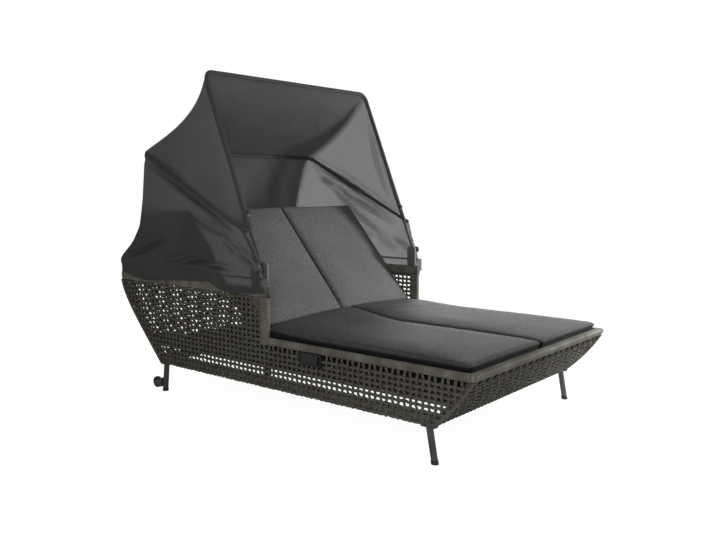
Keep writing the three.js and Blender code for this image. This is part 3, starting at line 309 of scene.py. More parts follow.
def tubes(paths, across, up, ring, lengths=None):
    # every path carries the ring of section points: point = path + across · ring[0] + up · ring[1];
    # returns points, faces and corner values for all of them, with closed ends
    count, steps, sections = paths.shape[0], paths.shape[1], ring.shape[-2]
    ring = np.broadcast_to(ring, (count, steps, sections, 2))
    across, up = np.broadcast_to(across, paths.shape), np.broadcast_to(up, paths.shape)
    points = paths[:, :, None] + across[:, :, None] * ring[..., :1] + up[:, :, None] * ring[..., 1:]
    if lengths is None:
        lengths = np.concatenate([[0], np.cumsum(np.linalg.norm(np.diff(paths[0], axis=0), axis=1))])
    quads = gridQuads(steps, sections, closed=True)
    uv = gridUv(lengths, np.linspace(0, 1, sections + 1))
    shift = (np.arange(count) * steps * sections)[:, None, None]
    allQuads = (quads[None] + shift).reshape(-1, 4)
    first = np.arange(sections)[::-1][None] + shift[:, 0]
    last = np.arange(sections)[None] + (steps - 1) * sections + shift[:, 0]
    caps = np.concatenate([first, last])
    if np.dot(np.cross(across[0, 0], up[0, 0]), paths[0, 1] - paths[0, 0]) < 0:
        allQuads, caps = allQuads[:, ::-1], caps[:, ::-1]
        uv = uv[:, ::-1]
    offset = np.random.default_rng(7).uniform(0, 1, (count, 1, 1, 1)) * [1, 0]
    allUv = (uv[None] + offset).reshape(-1, 4, 2)
    return points.reshape(-1, 3), [allQuads, caps], [allUv, np.zeros((len(caps), sections, 2))]


def roundTube(path, across, up, radius, count):
    # a tube with a radius for each point of its path
    turn = np.linspace(0, 2 * math.pi, count, endpoint=False)
    ring = radius[:, None, None] * np.column_stack([np.cos(turn), np.sin(turn)])
    return tubes(path[None], across, up, ring[None])


def joinParts(parts):
    # several results of tubes() as one set of arrays, grouped by face size
    points, faces, uvs, start = [], {}, {}, 0
    for partPoints, partFaces, partUvs in parts:
        points.append(partPoints)
        for f, u in zip(partFaces, partUvs):
            faces.setdefault(f.shape[1], []).append(f + start)
            uvs.setdefault(f.shape[1], []).append(u)
        start += len(partPoints)
    joined = [[np.concatenate(group[size]) for size in sorted(faces)] for group in (faces, uvs)]
    return np.concatenate(points), *joined


def roundedSection(halfA, halfB, radius, steps):
    # rounded rectangle: an inner rectangle plus a circle of that radius, steps points to each corner
    turn = np.linspace(0, math.pi / 2, steps)
    corners = []
    for quarter, (a, b) in enumerate([(1, 1), (-1, 1), (-1, -1), (1, -1)]):
        angle = turn + quarter * math.pi / 2
        centre = [a * (halfA - radius), b * (halfB - radius)]
        corners.append(centre + radius * np.stack([np.cos(angle), np.sin(angle)], axis=-1))
    return np.concatenate(corners)


def sectionNormals(ring):
    # outward direction at each point of a closed section, from its two neighbours
    tangent = np.roll(ring, -1, axis=-2) - np.roll(ring, 1, axis=-2)
    normal = np.stack([tangent[..., 1], -tangent[..., 0]], axis=-1)
    return normal / np.linalg.norm(normal, axis=-1, keepdims=True)


# the tray's leaning front and rear
tray = {"halfWidth": 0.600, "frontY": -1.112, "rearY": 1.106, "rail": (0.150, 0.190), "lowRim": (0.345, 0.380),
        "tallRim": (0.560, 0.610), "sideWidth": 0.026, "endWidth": 0.045, "railWidth": 0.040, "railEndWidth": 0.026,
        "railIn": 0.0135, "railClear": 0.002, "post": (-0.028, 0.024),
        "frontLean": (-0.925, -1.112, 0.150, 0.368, [(0.40, 0.29), (0.73, 0.62)]),
        "rearLean": (0.776, 1.106, 0.150, 0.598, [(0.667, 0.523), (1.0, 0.77)])}


def leanCurve(bottomY, topY, lowZ, highZ, shares):
    # cubic Bézier from the bottom to the top point, y as a function of z by interpolation
    t = np.linspace(0, 1, 200)[:, None]
    low, reach = np.array([bottomY, lowZ]), np.array([topY - bottomY, highZ - lowZ])
    p = [low + reach * share for share in [(0, 0), *shares, (1, 1)]]
    curve = p[0] * (1 - t) ** 3 + p[1] * 3 * t * (1 - t) ** 2 + p[2] * 3 * t * t * (1 - t) + p[3] * t ** 3
    return lambda z: np.interp(z, curve[:, 1], curve[:, 0])


frontFace = leanCurve(*tray["frontLean"])
rearFace = leanCurve(*tray["rearLean"])

# wrapped bars
wrap = {"pitch": 0.0075, "depth": 0.0013, "perWrap": 4, "cornerRadius": 0.022, "round": 0.0115, "denser": 1.6,
        "flat": 0.0005, "cornerSteps": 6, "barRound": 0.95}
wrapStep = wrap["pitch"] / wrap["perWrap"]


def turnPath(corners, radius, closed=False):
    # straight runs with quarter-circle corners: points about wrapStep apart and their outward directions
    corners = [np.array(c, float) for c in corners]
    count = len(corners)
    legs, spans = [], count if closed else count - 1
    trimmed = {k: closed or 0 < k < count - 1 for k in range(count)}
    for k in range(spans):
        a, b = corners[k], corners[(k + 1) % count]
        ahead = (b - a) / np.linalg.norm(b - a)
        start = a + ahead * (radius if trimmed[k] else 0)
        end = b - ahead * (radius if trimmed[(k + 1) % count] else 0)
        n = max(2, round(np.linalg.norm(end - start) / wrapStep))
        share = np.linspace(0, 1, n, endpoint=False)[:, None]
        outward = np.array([ahead[1], -ahead[0]])
        legs.append((start + (end - start) * share, np.broadcast_to(outward, (n, 2))))
        if trimmed[(k + 1) % count]:
            c = corners[(k + 2) % count]
            onward = (c - b) / np.linalg.norm(c - b)
            n = max(3, round(radius * math.pi / 2 / wrapStep * wrap["denser"]))
            turn = np.linspace(0, math.pi / 2, n, endpoint=False)[:, None]
            nextOut = np.array([onward[1], -onward[0]])
            direction = outward * np.cos(turn) + nextOut * np.sin(turn)
            centre = b - ahead * radius + onward * radius
            legs.append((centre + direction * radius, direction))
        elif k == spans - 1:
            legs.append((end[None], outward[None]))
    return np.concatenate([p for p, _ in legs]), np.concatenate([d for _, d in legs])


def ropeRidge(steps):
    # the rope's height over a bar: depth · (sqrt(1 − (2·share − 1)²) − 1), with the share done of one wrap
    share = (np.arange(steps) % wrap["perWrap"]) / wrap["perWrap"]
    return wrap["depth"] * (np.sqrt(1 - (2 * share - 1) ** 2) - 1)


def wrappedBar(path, outward, inner, z, halfHeight, shift, closed=False):
    # a rounded section that reaches from the outer path to the inner one, carried along both
    halfA = wrap["round"] + wrap["flat"]
    ring = roundedSection(halfA, halfHeight, wrap["round"], wrap["cornerSteps"])
    steps, sections = len(path), len(ring)
    section = ring[None] + sectionNormals(ring)[None] * ropeRidge(steps)[:, None, None]
    centre = np.column_stack([(path + inner) / 2, np.full(steps, z)])
    away = np.column_stack([outward, np.zeros(steps)])
    points, faces, uv = tubes(centre[None], away, [0.0, 0.0, 1.0], section[None])
    points = points.reshape(steps, sections, 3)
    outer = ring[None, :, :1] > 0
    toPath = ((path - inner) / 2 - outward * halfA)[:, None]
    points[..., :2] += np.where(outer, toPath, -toPath)
    points[..., 1] += shift(points, outward[:, None], outer[..., 0])
    if closed:
        body = gridQuads(steps, sections, closed=True)
        here, after = np.arange(sections), (np.arange(sections) + 1) % sections
        last = (steps - 1) * sections
        seam = np.stack([here + last, after + last, after, here], axis=-1)
        turned = -1 if np.array_equal(faces[0][0], body[0][::-1]) else 1
        faces = [np.concatenate([body, seam])[:, ::turned]]
        uv = [np.concatenate([uv[0], np.zeros((sections, 4, 2))])]
    return points.reshape(-1, 3), faces, uv


def leanShift(face, edge, direction):
    # moves the outer side of the bar that faces this end onto the leaning face
    def shift(points, outward, outer):
        return (face(points[..., 2]) - edge) * np.clip(direction * outward[..., 1], 0, 1) * outer
    return shift


def uprightBar(heights, centreX, centreY, halfA, halfB, roped=True):
    # a bar that climbs along (x, y) given for each height, wrapped with rope or plain
    rows = len(heights)
    radius = min(wrap["round"], halfA * wrap["barRound"], halfB * wrap["barRound"])
    ring = roundedSection(halfA, halfB, radius, wrap["cornerSteps"])
    ridge = ropeRidge(rows) if roped else np.zeros(rows)
    section = ring[None] + sectionNormals(ring)[None] * ridge[:, None, None]
    path = np.column_stack([np.full(rows, centreX), centreY, heights])
    tangent = np.gradient(path, axis=0)
    tangent /= np.linalg.norm(tangent, axis=1, keepdims=True)
    across = [1.0, 0.0, 0.0]
    return tubes(path[None], across, np.cross(tangent, across), section[None])


def middleAndHalf(span):
    return sum(span) / 2, (span[1] - span[0]) / 2


def wrapPiece(name, span, corners, low, high, shift, closed=False):
    # a bar round these corners whose inner side lies within low and high
    path, outward = turnPath(corners, wrap["cornerRadius"], closed)
    middle, halfHeight = middleAndHalf(span)
    part = wrappedBar(path, outward, np.clip(path, low, high), middle, halfHeight, shift, closed)
    return makePart(name, part, wrappedRope)


half, step = tray["halfWidth"], tray["post"][0]
innerX = half - tray["sideWidth"]
corners = [(-half, step), (-half, tray["frontY"]), (half, tray["frontY"]), (half, step)]
low, high = (-innerX, tray["frontY"] + tray["endWidth"]), (innerX, 0)
shift = leanShift(frontFace, tray["frontY"], -1)
lowRim = wrapPiece("lowRimWrap", tray["lowRim"], corners, low, high, shift)
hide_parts("low_rim_front", "low_rim_left", "low_rim_right")

corners = [(half, step), (half, tray["rearY"]), (-half, tray["rearY"]), (-half, step)]
low, high = (-innerX, -1), (innerX, tray["rearY"] - tray["endWidth"])
shift = leanShift(rearFace, tray["rearY"], 1)
tallRim = wrapPiece("tallRimWrap", tray["tallRim"], corners, low, high, shift)
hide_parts("tall_rim_rear", "tall_rim_left", "tall_rim_right")

railMiddle = middleAndHalf(tray["rail"])[0]
railFront, railRear = float(frontFace(railMiddle)) + tray["railIn"], float(rearFace(railMiddle)) - tray["railIn"]


def railShift(points, outward, outer):
    front = (frontFace(points[..., 2]) - railFront + tray["railIn"]) * np.clip(-outward[..., 1], 0, 1)
    rear = (rearFace(points[..., 2]) - railRear - tray["railIn"]) * np.clip(outward[..., 1], 0, 1)
    return front + rear


reach = half - tray["railIn"]
corners = [(-reach, railFront), (reach, railFront), (reach, railRear), (-reach, railRear)]
reach = half - tray["railWidth"]
low, high = (-reach, railFront + tray["railEndWidth"]), (reach, railRear - tray["railEndWidth"])
span = (tray["rail"][0] + tray["railClear"], tray["rail"][1] - tray["railClear"])
rail = wrapPiece("bottomRailWrap", span, corners, low, high, railShift, closed=True)
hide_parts("bottom_rail_front", "bottom_rail_rear", "bottom_rail_left", "bottom_rail_right")

stile = {"memberX": 0.58025, "memberHalf": (0.00625, 0.0125), "memberIn": 0.0255, "cordX": 0.5935, "cordRadius": 0.0065,
         "frontTop": 0.349, "rearTop": 0.564, "points": 40, "post": (0.346, 0.562), "lowPost": (0.186, 0.347),
         "lowPostHalf": (0.005, 0.025)}
postY, postHalf = middleAndHalf(tray["post"])
for name, side in sides.items():
    upper = np.arange(*stile["post"], wrapStep)
    part = uprightBar(upper, side * (half + innerX) / 2, np.full(len(upper), postY), tray["sideWidth"] / 2, postHalf)
    post = makePart(f"stepPostWrap_{name}", part, wrappedRope)
    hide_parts(f"step_post_{name}")
    lowX = side * (innerX + stile["lowPostHalf"][0])
    members = [uprightBar(np.array(stile["lowPost"]), lowX, np.full(2, postY), *stile["lowPostHalf"], roped=False)]
    cords = []
    for face, direction, top in ((frontFace, 1, stile["frontTop"]), (rearFace, -1, stile["rearTop"])):
        heights = np.linspace(tray["rail"][0], top, stile["points"])
        depth, radius = face(heights) + direction * stile["memberIn"], stile["cordRadius"]
        members.append(uprightBar(heights, side * stile["memberX"], depth, *stile["memberHalf"], roped=False))
        depth = face(heights) + direction * radius
        cords.append(uprightBar(heights, side * stile["cordX"], depth, radius, radius, roped=False))
    # the members behind the net take the dark coated finish as painted shade, so that they read as the dark gaps of the
    # weave
    member = makePart(f"stileMember_{name}", joinParts(members), coatedAndShade)
    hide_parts(f"corner_stile_front_{name}", f"corner_stile_rear_{name}")
    makePart(f"stileCord_{name}", joinParts(cords), wovenRope)
print("wrapped bars made")


# woven panels
weave = {"along": 0.029, "rise": 0.0235, "firstRow": 0.1535, "halfWidth": 0.0069, "halfThick": 0.0038, "swing": 0.0035,
         "sides": 8, "perCell": 5, "wander": 0.0012, "plane": 0.5925, "toCord": 0.009, "lowest": 0.1465, "inLean": 0.0075,
         "intoRim": 0.004, "endRim": 0.006, "toCorner": 0.022, "toFace": 0.010, "shortest": 0.012,
         "waves": ((0.6, 31), (0.5, 83)), "searchTo": (0.37, 0.60),
         "hole": (-0.3525, -0.2215), "holeLow": 0.2885, "holeRow": 0.006, "holeSide": 0.003}
turn = np.linspace(0, 2 * math.pi, weave["sides"], endpoint=False)
strandRing = np.column_stack([weave["halfWidth"] * np.cos(turn), weave["halfThick"] * np.sin(turn)])
chance = np.random.default_rng(21)


def wander(count, places):
    # slow sideways drift of each strand: two sines with random phases
    phase = chance.uniform(0, 2 * math.pi, (2, count, 1))
    (big, slow), (small, fast) = weave["waves"]
    return weave["wander"] * (big * np.sin(places * slow + phase[0]) + small * np.sin(places * fast + phase[1]))


def netStrands(place, fixed, start, end, index, upright):
    # upright strands hold their place along and climb; level ones hold their height. The depth is
    # ± swing · cos(π · (travel / cell) + π · index), so each strand passes over and under in turn
    cell = weave["rise"] if upright else weave["along"]
    steps = max(4, int(np.max(end - start) / cell * weave["perCell"]))
    travel = start[:, None] + (end - start)[:, None] * np.linspace(0, 1, steps)[None]
    zero = weave["firstRow"] if upright else 0.0
    depth = weave["swing"] * np.cos(math.pi * (travel - zero) / cell + math.pi * index[:, None]) * (1 if upright else -1)
    other = fixed[:, None] + wander(len(fixed), travel)
    a, h = (other, travel) if upright else (travel, other)
    paths, outward, sideways = place(a, h, depth)
    along = sideways if upright else np.cross(outward, sideways)
    return tubes(paths, along, outward, strandRing, np.linspace(0, float(np.max(end - start)), steps))


def sidePlace(side):
    def place(a, h, depth):
        return np.stack([side * (weave["plane"] + depth), a, h], axis=-1), [side, 0.0, 0.0], [0.0, 1.0, 0.0]
    return place


def leanPlace(face, direction):
    # the depth is measured square to the leaning face, whose slope is (f(h + e) − f(h − e)) / 2e
    def place(a, h, depth):
        step = 0.001
        slope = (face(h + step) - face(h - step)) / (2 * step)
        size = np.sqrt(1 + slope ** 2)
        outward = np.stack([np.zeros_like(a), direction / size, -direction * slope / size], axis=-1)
        base = np.stack([a, face(h) - direction * weave["inLean"], h], axis=-1)
        return base + outward * depth[..., None], outward, [1.0, 0.0, 0.0]
    return place


def heightAt(face, depth, low, high):
    # the height at which the leaning face reaches this depth
    z = np.linspace(low, high, 300)
    order = np.argsort(face(z))
    return np.interp(depth, face(z)[order], z[order])


def sideWeave(name, side):
    place = sidePlace(side)
    parts = []
    hole, step = weave["hole"], tray["post"][1] - weave["intoRim"]

    def addRows(chosen, start, end):
        count = chosen.sum()
        start, end = np.broadcast_to(start, count), np.broadcast_to(end, count)
        parts.append(netStrands(place, rows[chosen], start, end, index[chosen], False))

    rows = np.arange(weave["firstRow"], tray["tallRim"][0], weave["rise"])
    index = np.arange(len(rows))
    low = rows < tray["lowRim"][0] - weave["intoRim"]
    cut = low & (rows > weave["holeLow"] - weave["holeRow"])
    startY = np.where(low, frontFace(rows) + weave["toCord"], step)
    endY = rearFace(rows) - weave["toCord"]
    addRows(~cut & low, startY[~cut & low], endY[~cut & low])
    addRows(~low, startY[~low], endY[~low])
    addRows(cut, startY[cut], hole[0])  # the rows that stop at the lever's hole
    addRows(cut, hole[1], endY[cut])
    first = math.ceil((tray["frontY"] + weave["toCorner"]) / weave["along"])
    last = math.floor((tray["rearY"] - weave["toCorner"]) / weave["along"])
    index = np.arange(first, last + 1)
    y = index * weave["along"]
    toFace, bottom, railZ = weave["toFace"], np.full(len(y), weave["lowest"]), tray["rail"][0]
    frontZ, rearZ = weave["searchTo"]
    bottom = np.where(y < frontFace(bottom) + toFace, heightAt(frontFace, y - toFace, railZ, frontZ), bottom)
    bottom = np.where(y > rearFace(bottom) - toFace, heightAt(rearFace, y + toFace, railZ, rearZ), bottom)
    tall = y > step
    top = np.where(tall, tray["tallRim"][0], tray["lowRim"][0]) + weave["intoRim"]
    inHole = (y > hole[0] - weave["holeSide"]) & (y < hole[1] + weave["holeSide"])
    top = np.where(inHole, weave["holeLow"], top)
    keep = top - bottom > weave["shortest"]
    for group in (tall & keep, ~tall & ~inHole & keep, inHole & keep):
        parts.append(netStrands(place, y[group], bottom[group], top[group], index[group], True))
    piece = makePart(f"sideWeave_{name}", joinParts(parts), wovenRope)
    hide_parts(f"side_panel_low_{name}", f"side_panel_tall_{name}")


def endWeave(name, face, direction, top, node):
    place = leanPlace(face, direction)
    reach = half - weave["toCord"]
    rows = np.arange(weave["firstRow"], top - weave["endRim"], weave["rise"])
    ends = np.full(len(rows), reach)
    parts = [netStrands(place, rows, -ends, ends, np.arange(len(rows)), False)]
    most = math.floor(reach / weave["along"])
    index = np.arange(-most, most + 1)
    low, high = np.full(len(index), weave["lowest"]), np.full(len(index), top + weave["endRim"])
    parts.append(netStrands(place, index * weave["along"], low, high, index, True))
    piece = makePart(name, joinParts(parts), wovenRope)
    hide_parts(node)


for name, side in sides.items():
    sideWeave(name, side)
endWeave("frontWeave", frontFace, -1, tray["lowRim"][0], "front_panel")
endWeave("rearWeave", rearFace, 1, tray["tallRim"][0], "rear_panel")

# the board that lies between the deck rails under the backrests
board = {"half": (0.533, 0.002), "y": (0.120, 0.866), "z": 0.238, "round": 0.0015, "cornerSteps": 3}
path = np.array([[[0.0, y, board["z"]] for y in board["y"]]])
ring = roundedSection(*board["half"], board["round"], board["cornerSteps"])
part = tubes(path, [1.0, 0.0, 0.0], [0.0, 0.0, 1.0], ring)
makePart("rearBoard", part, coatedAndShade, smooth=False)
print("woven panels made")


# cushions
def boxLattice(size, pitch):
    # points on the six sides of a box, about a pitch apart, with its quads facing out and each point once
    counts = [max(2, round(length / pitch)) for length in size]
    points, quads, start = [], [], 0
    for axis in range(3):
        a, b = (axis + 1) % 3, (axis + 2) % 3
        for end in (0, 1):
            grid = np.zeros((counts[a] + 1, counts[b] + 1, 3))
            grid[..., a] = np.linspace(0, 1, counts[a] + 1)[:, None]
            grid[..., b] = np.linspace(0, 1, counts[b] + 1)[None]
            grid[..., axis] = end
            quad = gridQuads(counts[a] + 1, counts[b] + 1) + start
            quads.append(quad[:, ::-1] if end else quad)
            points.append(grid.reshape(-1, 3))
            start += grid.shape[0] * grid.shape[1]
    points = np.concatenate(points)
    keys = np.round(points * 1e5).astype(np.int64)
    index, back = np.unique(keys, axis=0, return_index=True, return_inverse=True)[1:]
    return points[index], back.reshape(-1)[np.concatenate(quads)]


def easeIn(t):
    # 0 below 0, 1 above 1 and 3t² − 2t³ between
    t = np.clip(t, 0, 1)
    return t * t * (3 - 2 * t)


def pointsOf(piece):
    co = np.zeros(len(piece.data.vertices) * 3, np.float32)
    piece.data.vertices.foreach_get("co", co)
    return co.reshape(-1, 3)


def setPoints(piece, co):
    piece.data.vertices.foreach_set("co", co.astype(np.float32).ravel())
    piece.data.update()


air = {"pressure": 3.0, "frames": 20, "cap": 0.022, "share": (0.03, 0.03, 0.10), "quality": 5, "stretch": 12, "bend": 0.6,
       "mass": 0.3, "loosening": 3}


def puff(piece, still):
    # cloth with air pressed into it for some frames, each point held within the cap of its start;
    # the foam keeps its sides, so only a share of the move is taken across, along and up
    rest = pointsOf(piece)
    cloth = piece.modifiers.new("puff", "CLOTH")
    cloth.settings.use_pressure = True
    cloth.settings.uniform_pressure_force = air["pressure"]
    cloth.settings.effector_weights.gravity = 0
    cloth.settings.quality = air["quality"]
    cloth.settings.tension_stiffness = cloth.settings.compression_stiffness = air["stretch"]
    cloth.settings.bending_stiffness = air["bend"]
    cloth.settings.mass = air["mass"]
    for number in range(1, air["frames"] + 1):
        scene.frame_set(number)
    moved = pointsOf(piece.evaluated_get(bpy.context.evaluated_depsgraph_get()))
    piece.modifiers.remove(cloth)
    scene.frame_set(1)
    move = moved - rest
    far = np.linalg.norm(move, axis=1, keepdims=True)
    move *= np.minimum(1, air["cap"] / np.maximum(far, 1e-9)) * still[:, None] * air["share"]
    setPoints(piece, rest + move)
    print(piece.name, "puffed by", round(float(np.linalg.norm(move, axis=1).max()) * 1000, 1), "mm")


def makeCushion(name, look, place, material, node, wrinkles=()):
    # a box with rounded edges whose top is crowned: 1 − (2u − 1)⁴ times 1 − (2v − 1)⁴ of the crown
    low, high = np.array(look["low"]), np.array(look["high"])
    size = high - low
    unit, quads = boxLattice(size, pad["pitch"])
    points = low + unit * size
    inner = np.clip(points, low + look["round"], high - look["round"])
    away = points - inner
    points = inner + away / np.maximum(np.linalg.norm(away, axis=1, keepdims=True), 1e-9) * look["round"]
    u, v, w = unit.T
    acrossU, acrossV = 2 * u - 1, 2 * v - 1
    points[:, 2] += look["crown"] * (1 - acrossU ** 4) * (1 - acrossV ** 4) * w
    # the sides pull in between the corners
    points[:, 0] += np.where(u > 0.5, -1, 1) * pad["drawIn"] * (1 - acrossV ** 2) * acrossU ** 6
    points[:, 1] += np.where(v > 0.5, -1, 1) * pad["drawIn"] * (1 - acrossU ** 2) * acrossV ** 6
    # the lay of the cloth: across and along, carried down the sides
    down = (1 - w) * size[2]
    lay = points[:, :2] + np.column_stack([down * (np.abs(acrossU) > 0.999), down * (np.abs(acrossV) > 0.999)])
    piece = makePiece(name, points, [quads], material, None, [lay[quads]])
    puff(piece, np.clip(w * air["loosening"], 0, 1))  # held at its underside
    co = pointsOf(piece).astype(float)
    co = np.clip(co, low - pad["spare"], high + pad["spare"] + [0, 0, look["crown"]])
    co[:, 2] = np.maximum(co[:, 2], low[2])
    onTop = np.clip(w * 4 - 3, 0, 1)
    for (ax, ay), (bx, by), depth, width in wrinkles:
        # a valley exp(−(gap / width)²) beside the line, deepest in its middle
        span = np.array([bx - ax, by - ay])
        rel = co[:, :2] - [ax, ay]
        t = np.clip(rel @ span / (span @ span), 0, 1)
        gap = np.linalg.norm(rel - t[:, None] * span, axis=1)
        co[:, 2] -= depth * np.exp(-(gap / width) ** 2) * onTop * lerp(np.sin(t * math.pi), 1, pad["wrinkleEnd"])
    if "overhang" in look:
        # above the rim the sides swell outwards, over the rim's inner edge but not beside the step
        over = easeIn((co[:, 2] - look["overRim"]) / look["rimFade"])
        over = over * (1 - easeIn((co[:, 1] - look["overEnd"]) / look["endFade"]))
        over *= look["overhang"]
        swell = look["swell"]
        co[:, 0] += over * easeIn((co[:, 0] - high[0] + swell) / swell)
        co[:, 1] -= over * easeIn((low[1] + swell - co[:, 1]) / swell)
        middle = 1 - (co[:, 0] / high[0]) ** 2
        edgeRise, middleRise, length = look["rearRise"]
        co[:, 2] += (edgeRise + middleRise * middle) * easeIn((co[:, 1] + length) / length) * w
    border = np.clip((pad["borderTop"] - w) / pad["borderFade"], 0, 1)
    attribute = piece.data.attributes.new("border", "FLOAT", "POINT")
    attribute.data.foreach_set("value", border.astype(np.float32))
    setPoints(piece, place(co))
    smooth = piece.modifiers.new("smooth", "SUBSURF")
    smooth.levels = smooth.render_levels = 1
    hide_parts(node)
    return piece


pad = {"drawIn": 0.003, "pitch": 0.014, "spare": 0.001, "borderTop": 0.985, "borderFade": 0.05, "wrinkleEnd": 0.4}
seatLook = {"low": (0.0025, -1.062, 0.3085), "high": (0.572, 0.010, 0.410), "round": 0.018, "crown": 0.018,
            "overhang": 0.014, "overRim": 0.383, "rimFade": 0.010, "overEnd": -0.10, "endFade": 0.05, "swell": 0.03,
            "rearRise": (0.012, 0.030, 0.36)}
backLook = {"low": (0.0025, 0.070, 0.0055), "high": (0.572, 0.767, 0.110), "round": 0.019, "crown": 0.020}
hinge = {"y": 0.060, "z": 0.300, "angle": math.radians(49.5)}


def atSeat(side):
    def place(co):
        return co * [side, 1, 1]
    return place


def atBack(side):
    # turned up about the hinge line: y' cos a − z' sin a, y' sin a + z' cos a
    def place(co):
        x, y, z = co.T
        c, s = math.cos(hinge["angle"]), math.sin(hinge["angle"])
        return np.column_stack([side * x, hinge["y"] + y * c - z * s, hinge["z"] + y * s + z * c])
    return place


seatWrinkles = {  # from and to in (x, y), depth, width
    "right": [((0.05, -0.02), (0.50, -0.10), 0.004, 0.012), ((0.08, -0.10), (0.52, -0.20), 0.003, 0.014),
              ((0.10, -0.19), (0.45, -0.30), 0.003, 0.014), ((0.03, -0.26), (0.40, -0.40), 0.0022, 0.016)],
    "left": [((0.06, -0.05), (0.40, -0.08), 0.002, 0.016)]}
for name, side in sides.items():
    seat = makeCushion(f"seatCushion_{name}", seatLook, atSeat(side), shadedSeatFabric, f"seat_cushion_{name}", seatWrinkles[name])
    back = makeCushion(f"backCushion_{name}", backLook, atBack(side), backFabric, f"back_cushion_{name}")
    if side < 0:  # a mirrored piece is turned inside out, so its faces are reversed
        seat.data.flip_normals()
        back.data.flip_normals()
    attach(seat, "root")
    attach(back, f"backrest_{name}")
print("cushions made")


# canopy
bow = {"pivot": (0.013, 0.700), "front": math.radians(67.9), "frontX": 0.592, "frontLength": 0.960, "frontBend": 0.045,
       "rivet": (0.07884, 0.86214), "mid": math.radians(26.5), "midX": 0.6115, "midLength": 0.830, "midBend": 0.030}
cloth = {"frontStand": 0.0106, "midStand": 0.0145, "sideX": 0.6031, "frontStart": 0.170, "midStart": 0.008, "fade": 0.16,
         "legColumns": 104, "bendColumns": 14, "barColumns": 140, "roofRows": 66, "rearRows": 104,
         "sleeveRows": 16, "sleeveTurn": 250, "thick": 0.0016}


def ringStations(halfX, start, length, bend, columns=None):
    # up the left leg, round, across and down the right one: x, p along the bow and the outward (ex, ep)
    legs, turns, bars = columns or (cloth["legColumns"], cloth["bendColumns"], cloth["barColumns"])
    p = np.linspace(start, length - bend, legs, endpoint=False)
    angle = np.linspace(0, math.pi / 2, turns, endpoint=False)
    leg = np.column_stack([np.full(legs, -halfX), p, np.full(legs, -1.0), np.zeros(legs)])
    ex, ep = -np.cos(angle), np.sin(angle)
    corner = np.column_stack([-halfX + bend + ex * bend, length - bend + ep * bend, ex, ep])
    x = np.linspace(bend - halfX, halfX - bend, bars + 1)
    bar = np.column_stack([x, np.full(bars + 1, length), np.zeros(bars + 1), np.ones(bars + 1)])
    other = np.concatenate([leg, corner])[::-1] * [-1, 1, -1, 1]
    return np.concatenate([leg, corner, bar, other])


def onBow(stations, origin, angle, stand):
    # the stations in the bed's frame, moved out from the bow by the cloth's stand
    x, p, ex, ep = stations.T
    x, p = x + ex * stand, p + ep * stand
    return np.column_stack([x, origin[0] + math.cos(angle) * p, origin[1] + math.sin(angle) * p])


def squareTo(stations, angle):
    # the stations' outward direction in the bed's frame
    return np.column_stack([stations[:, 2], stations[:, 3] * math.cos(angle), stations[:, 3] * math.sin(angle)])


def polylineGap(y, z, line):
    # signed distance to a bent line, positive above it, and the place along it from 0 to 1
    line = np.array(line, float)
    lengths = np.linalg.norm(np.diff(line, axis=0), axis=1)
    total, done = lengths.sum(), 0.0
    best, gap, share = np.full(y.shape, 1e9), np.zeros(y.shape), np.zeros(y.shape)
    for a, b, length in zip(line[:-1], line[1:], lengths):
        t = ((y - a[0]) * (b[0] - a[0]) + (z - a[1]) * (b[1] - a[1])) / length ** 2
        inside = np.clip(t, 0, 1)
        dy, dz = y - lerp(a[0], b[0], inside), z - lerp(a[1], b[1], inside)
        distance = np.hypot(dy, dz)
        sign = np.sign((b[0] - a[0]) * dz - (b[1] - a[1]) * dy) * np.sign(b[0] - a[0] + 1e-9)
        closer = distance < best
        best = np.where(closer, distance, best)
        gap = np.where(closer, distance * np.where(sign == 0, 1, sign), gap)
        share = np.where(closer, (done + inside * length) / total, share)
        done += length
    return gap, share


def foldField(y, z, folds):
    # every fold is a ridge above its line and a valley below it:
    # ridge · exp(−((gap − w) / w)²) − valley · exp(−((gap + w/2) / w)²), fading towards its ends
    out = np.zeros(y.shape)
    for line, width, ridge, valley in folds:
        gap, share = polylineGap(y, z, line)
        fade = np.clip(4 * share * (1 - share), 0, 1) ** foldLook["fading"]
        up, down = np.exp(-((gap - width) / width) ** 2), np.exp(-((gap + width / 2) / width) ** 2)
        out += foldLook["scale"] * fade * (ridge * up - valley * down)
    return out


foldLook = {"scale": 2.2, "fading": 0.7}
nearFolds = [  # line in (y, z), width, ridge, valley
    ([(0.842, 1.205), (0.706, 1.135), (0.533, 1.048), (0.345, 0.955), (0.240, 0.905), (0.135, 0.858)], 0.016, 0.010, 0.015),
    ([(0.800, 1.235), (0.639, 1.180), (0.470, 1.090)], 0.013, 0.003, 0.006),
    ([(0.520, 0.950), (0.386, 0.878), (0.277, 0.852), (0.150, 0.826)], 0.015, 0.007, 0.010),
    ([(1.020, 0.700), (0.860, 0.752), (0.680, 0.812)], 0.016, 0.007, 0.010),
    ([(0.995, 0.738), (0.772, 0.812)], 0.013, 0.004, 0.005),
    ([(0.740, 0.672), (0.620, 0.690), (0.500, 0.718)], 0.010, 0.005, 0.006),
    ([(0.629, 0.675), (0.330, 0.713)], 0.010, 0.005, 0.006),
    ([(0.700, 0.670), (0.370, 0.660)], 0.008, 0.004, 0.004),
    ([(0.400, 0.686), (0.180, 0.676)], 0.009, 0.005, 0.007),
    ([(0.260, 0.815), (0.170, 0.752)], 0.010, 0.005, 0.007),
    ([(0.175, 0.802), (0.095, 0.742)], 0.010, 0.005, 0.007),
    ([(0.160, 0.760), (0.030, 0.706)], 0.014, 0.006, 0.010),
]
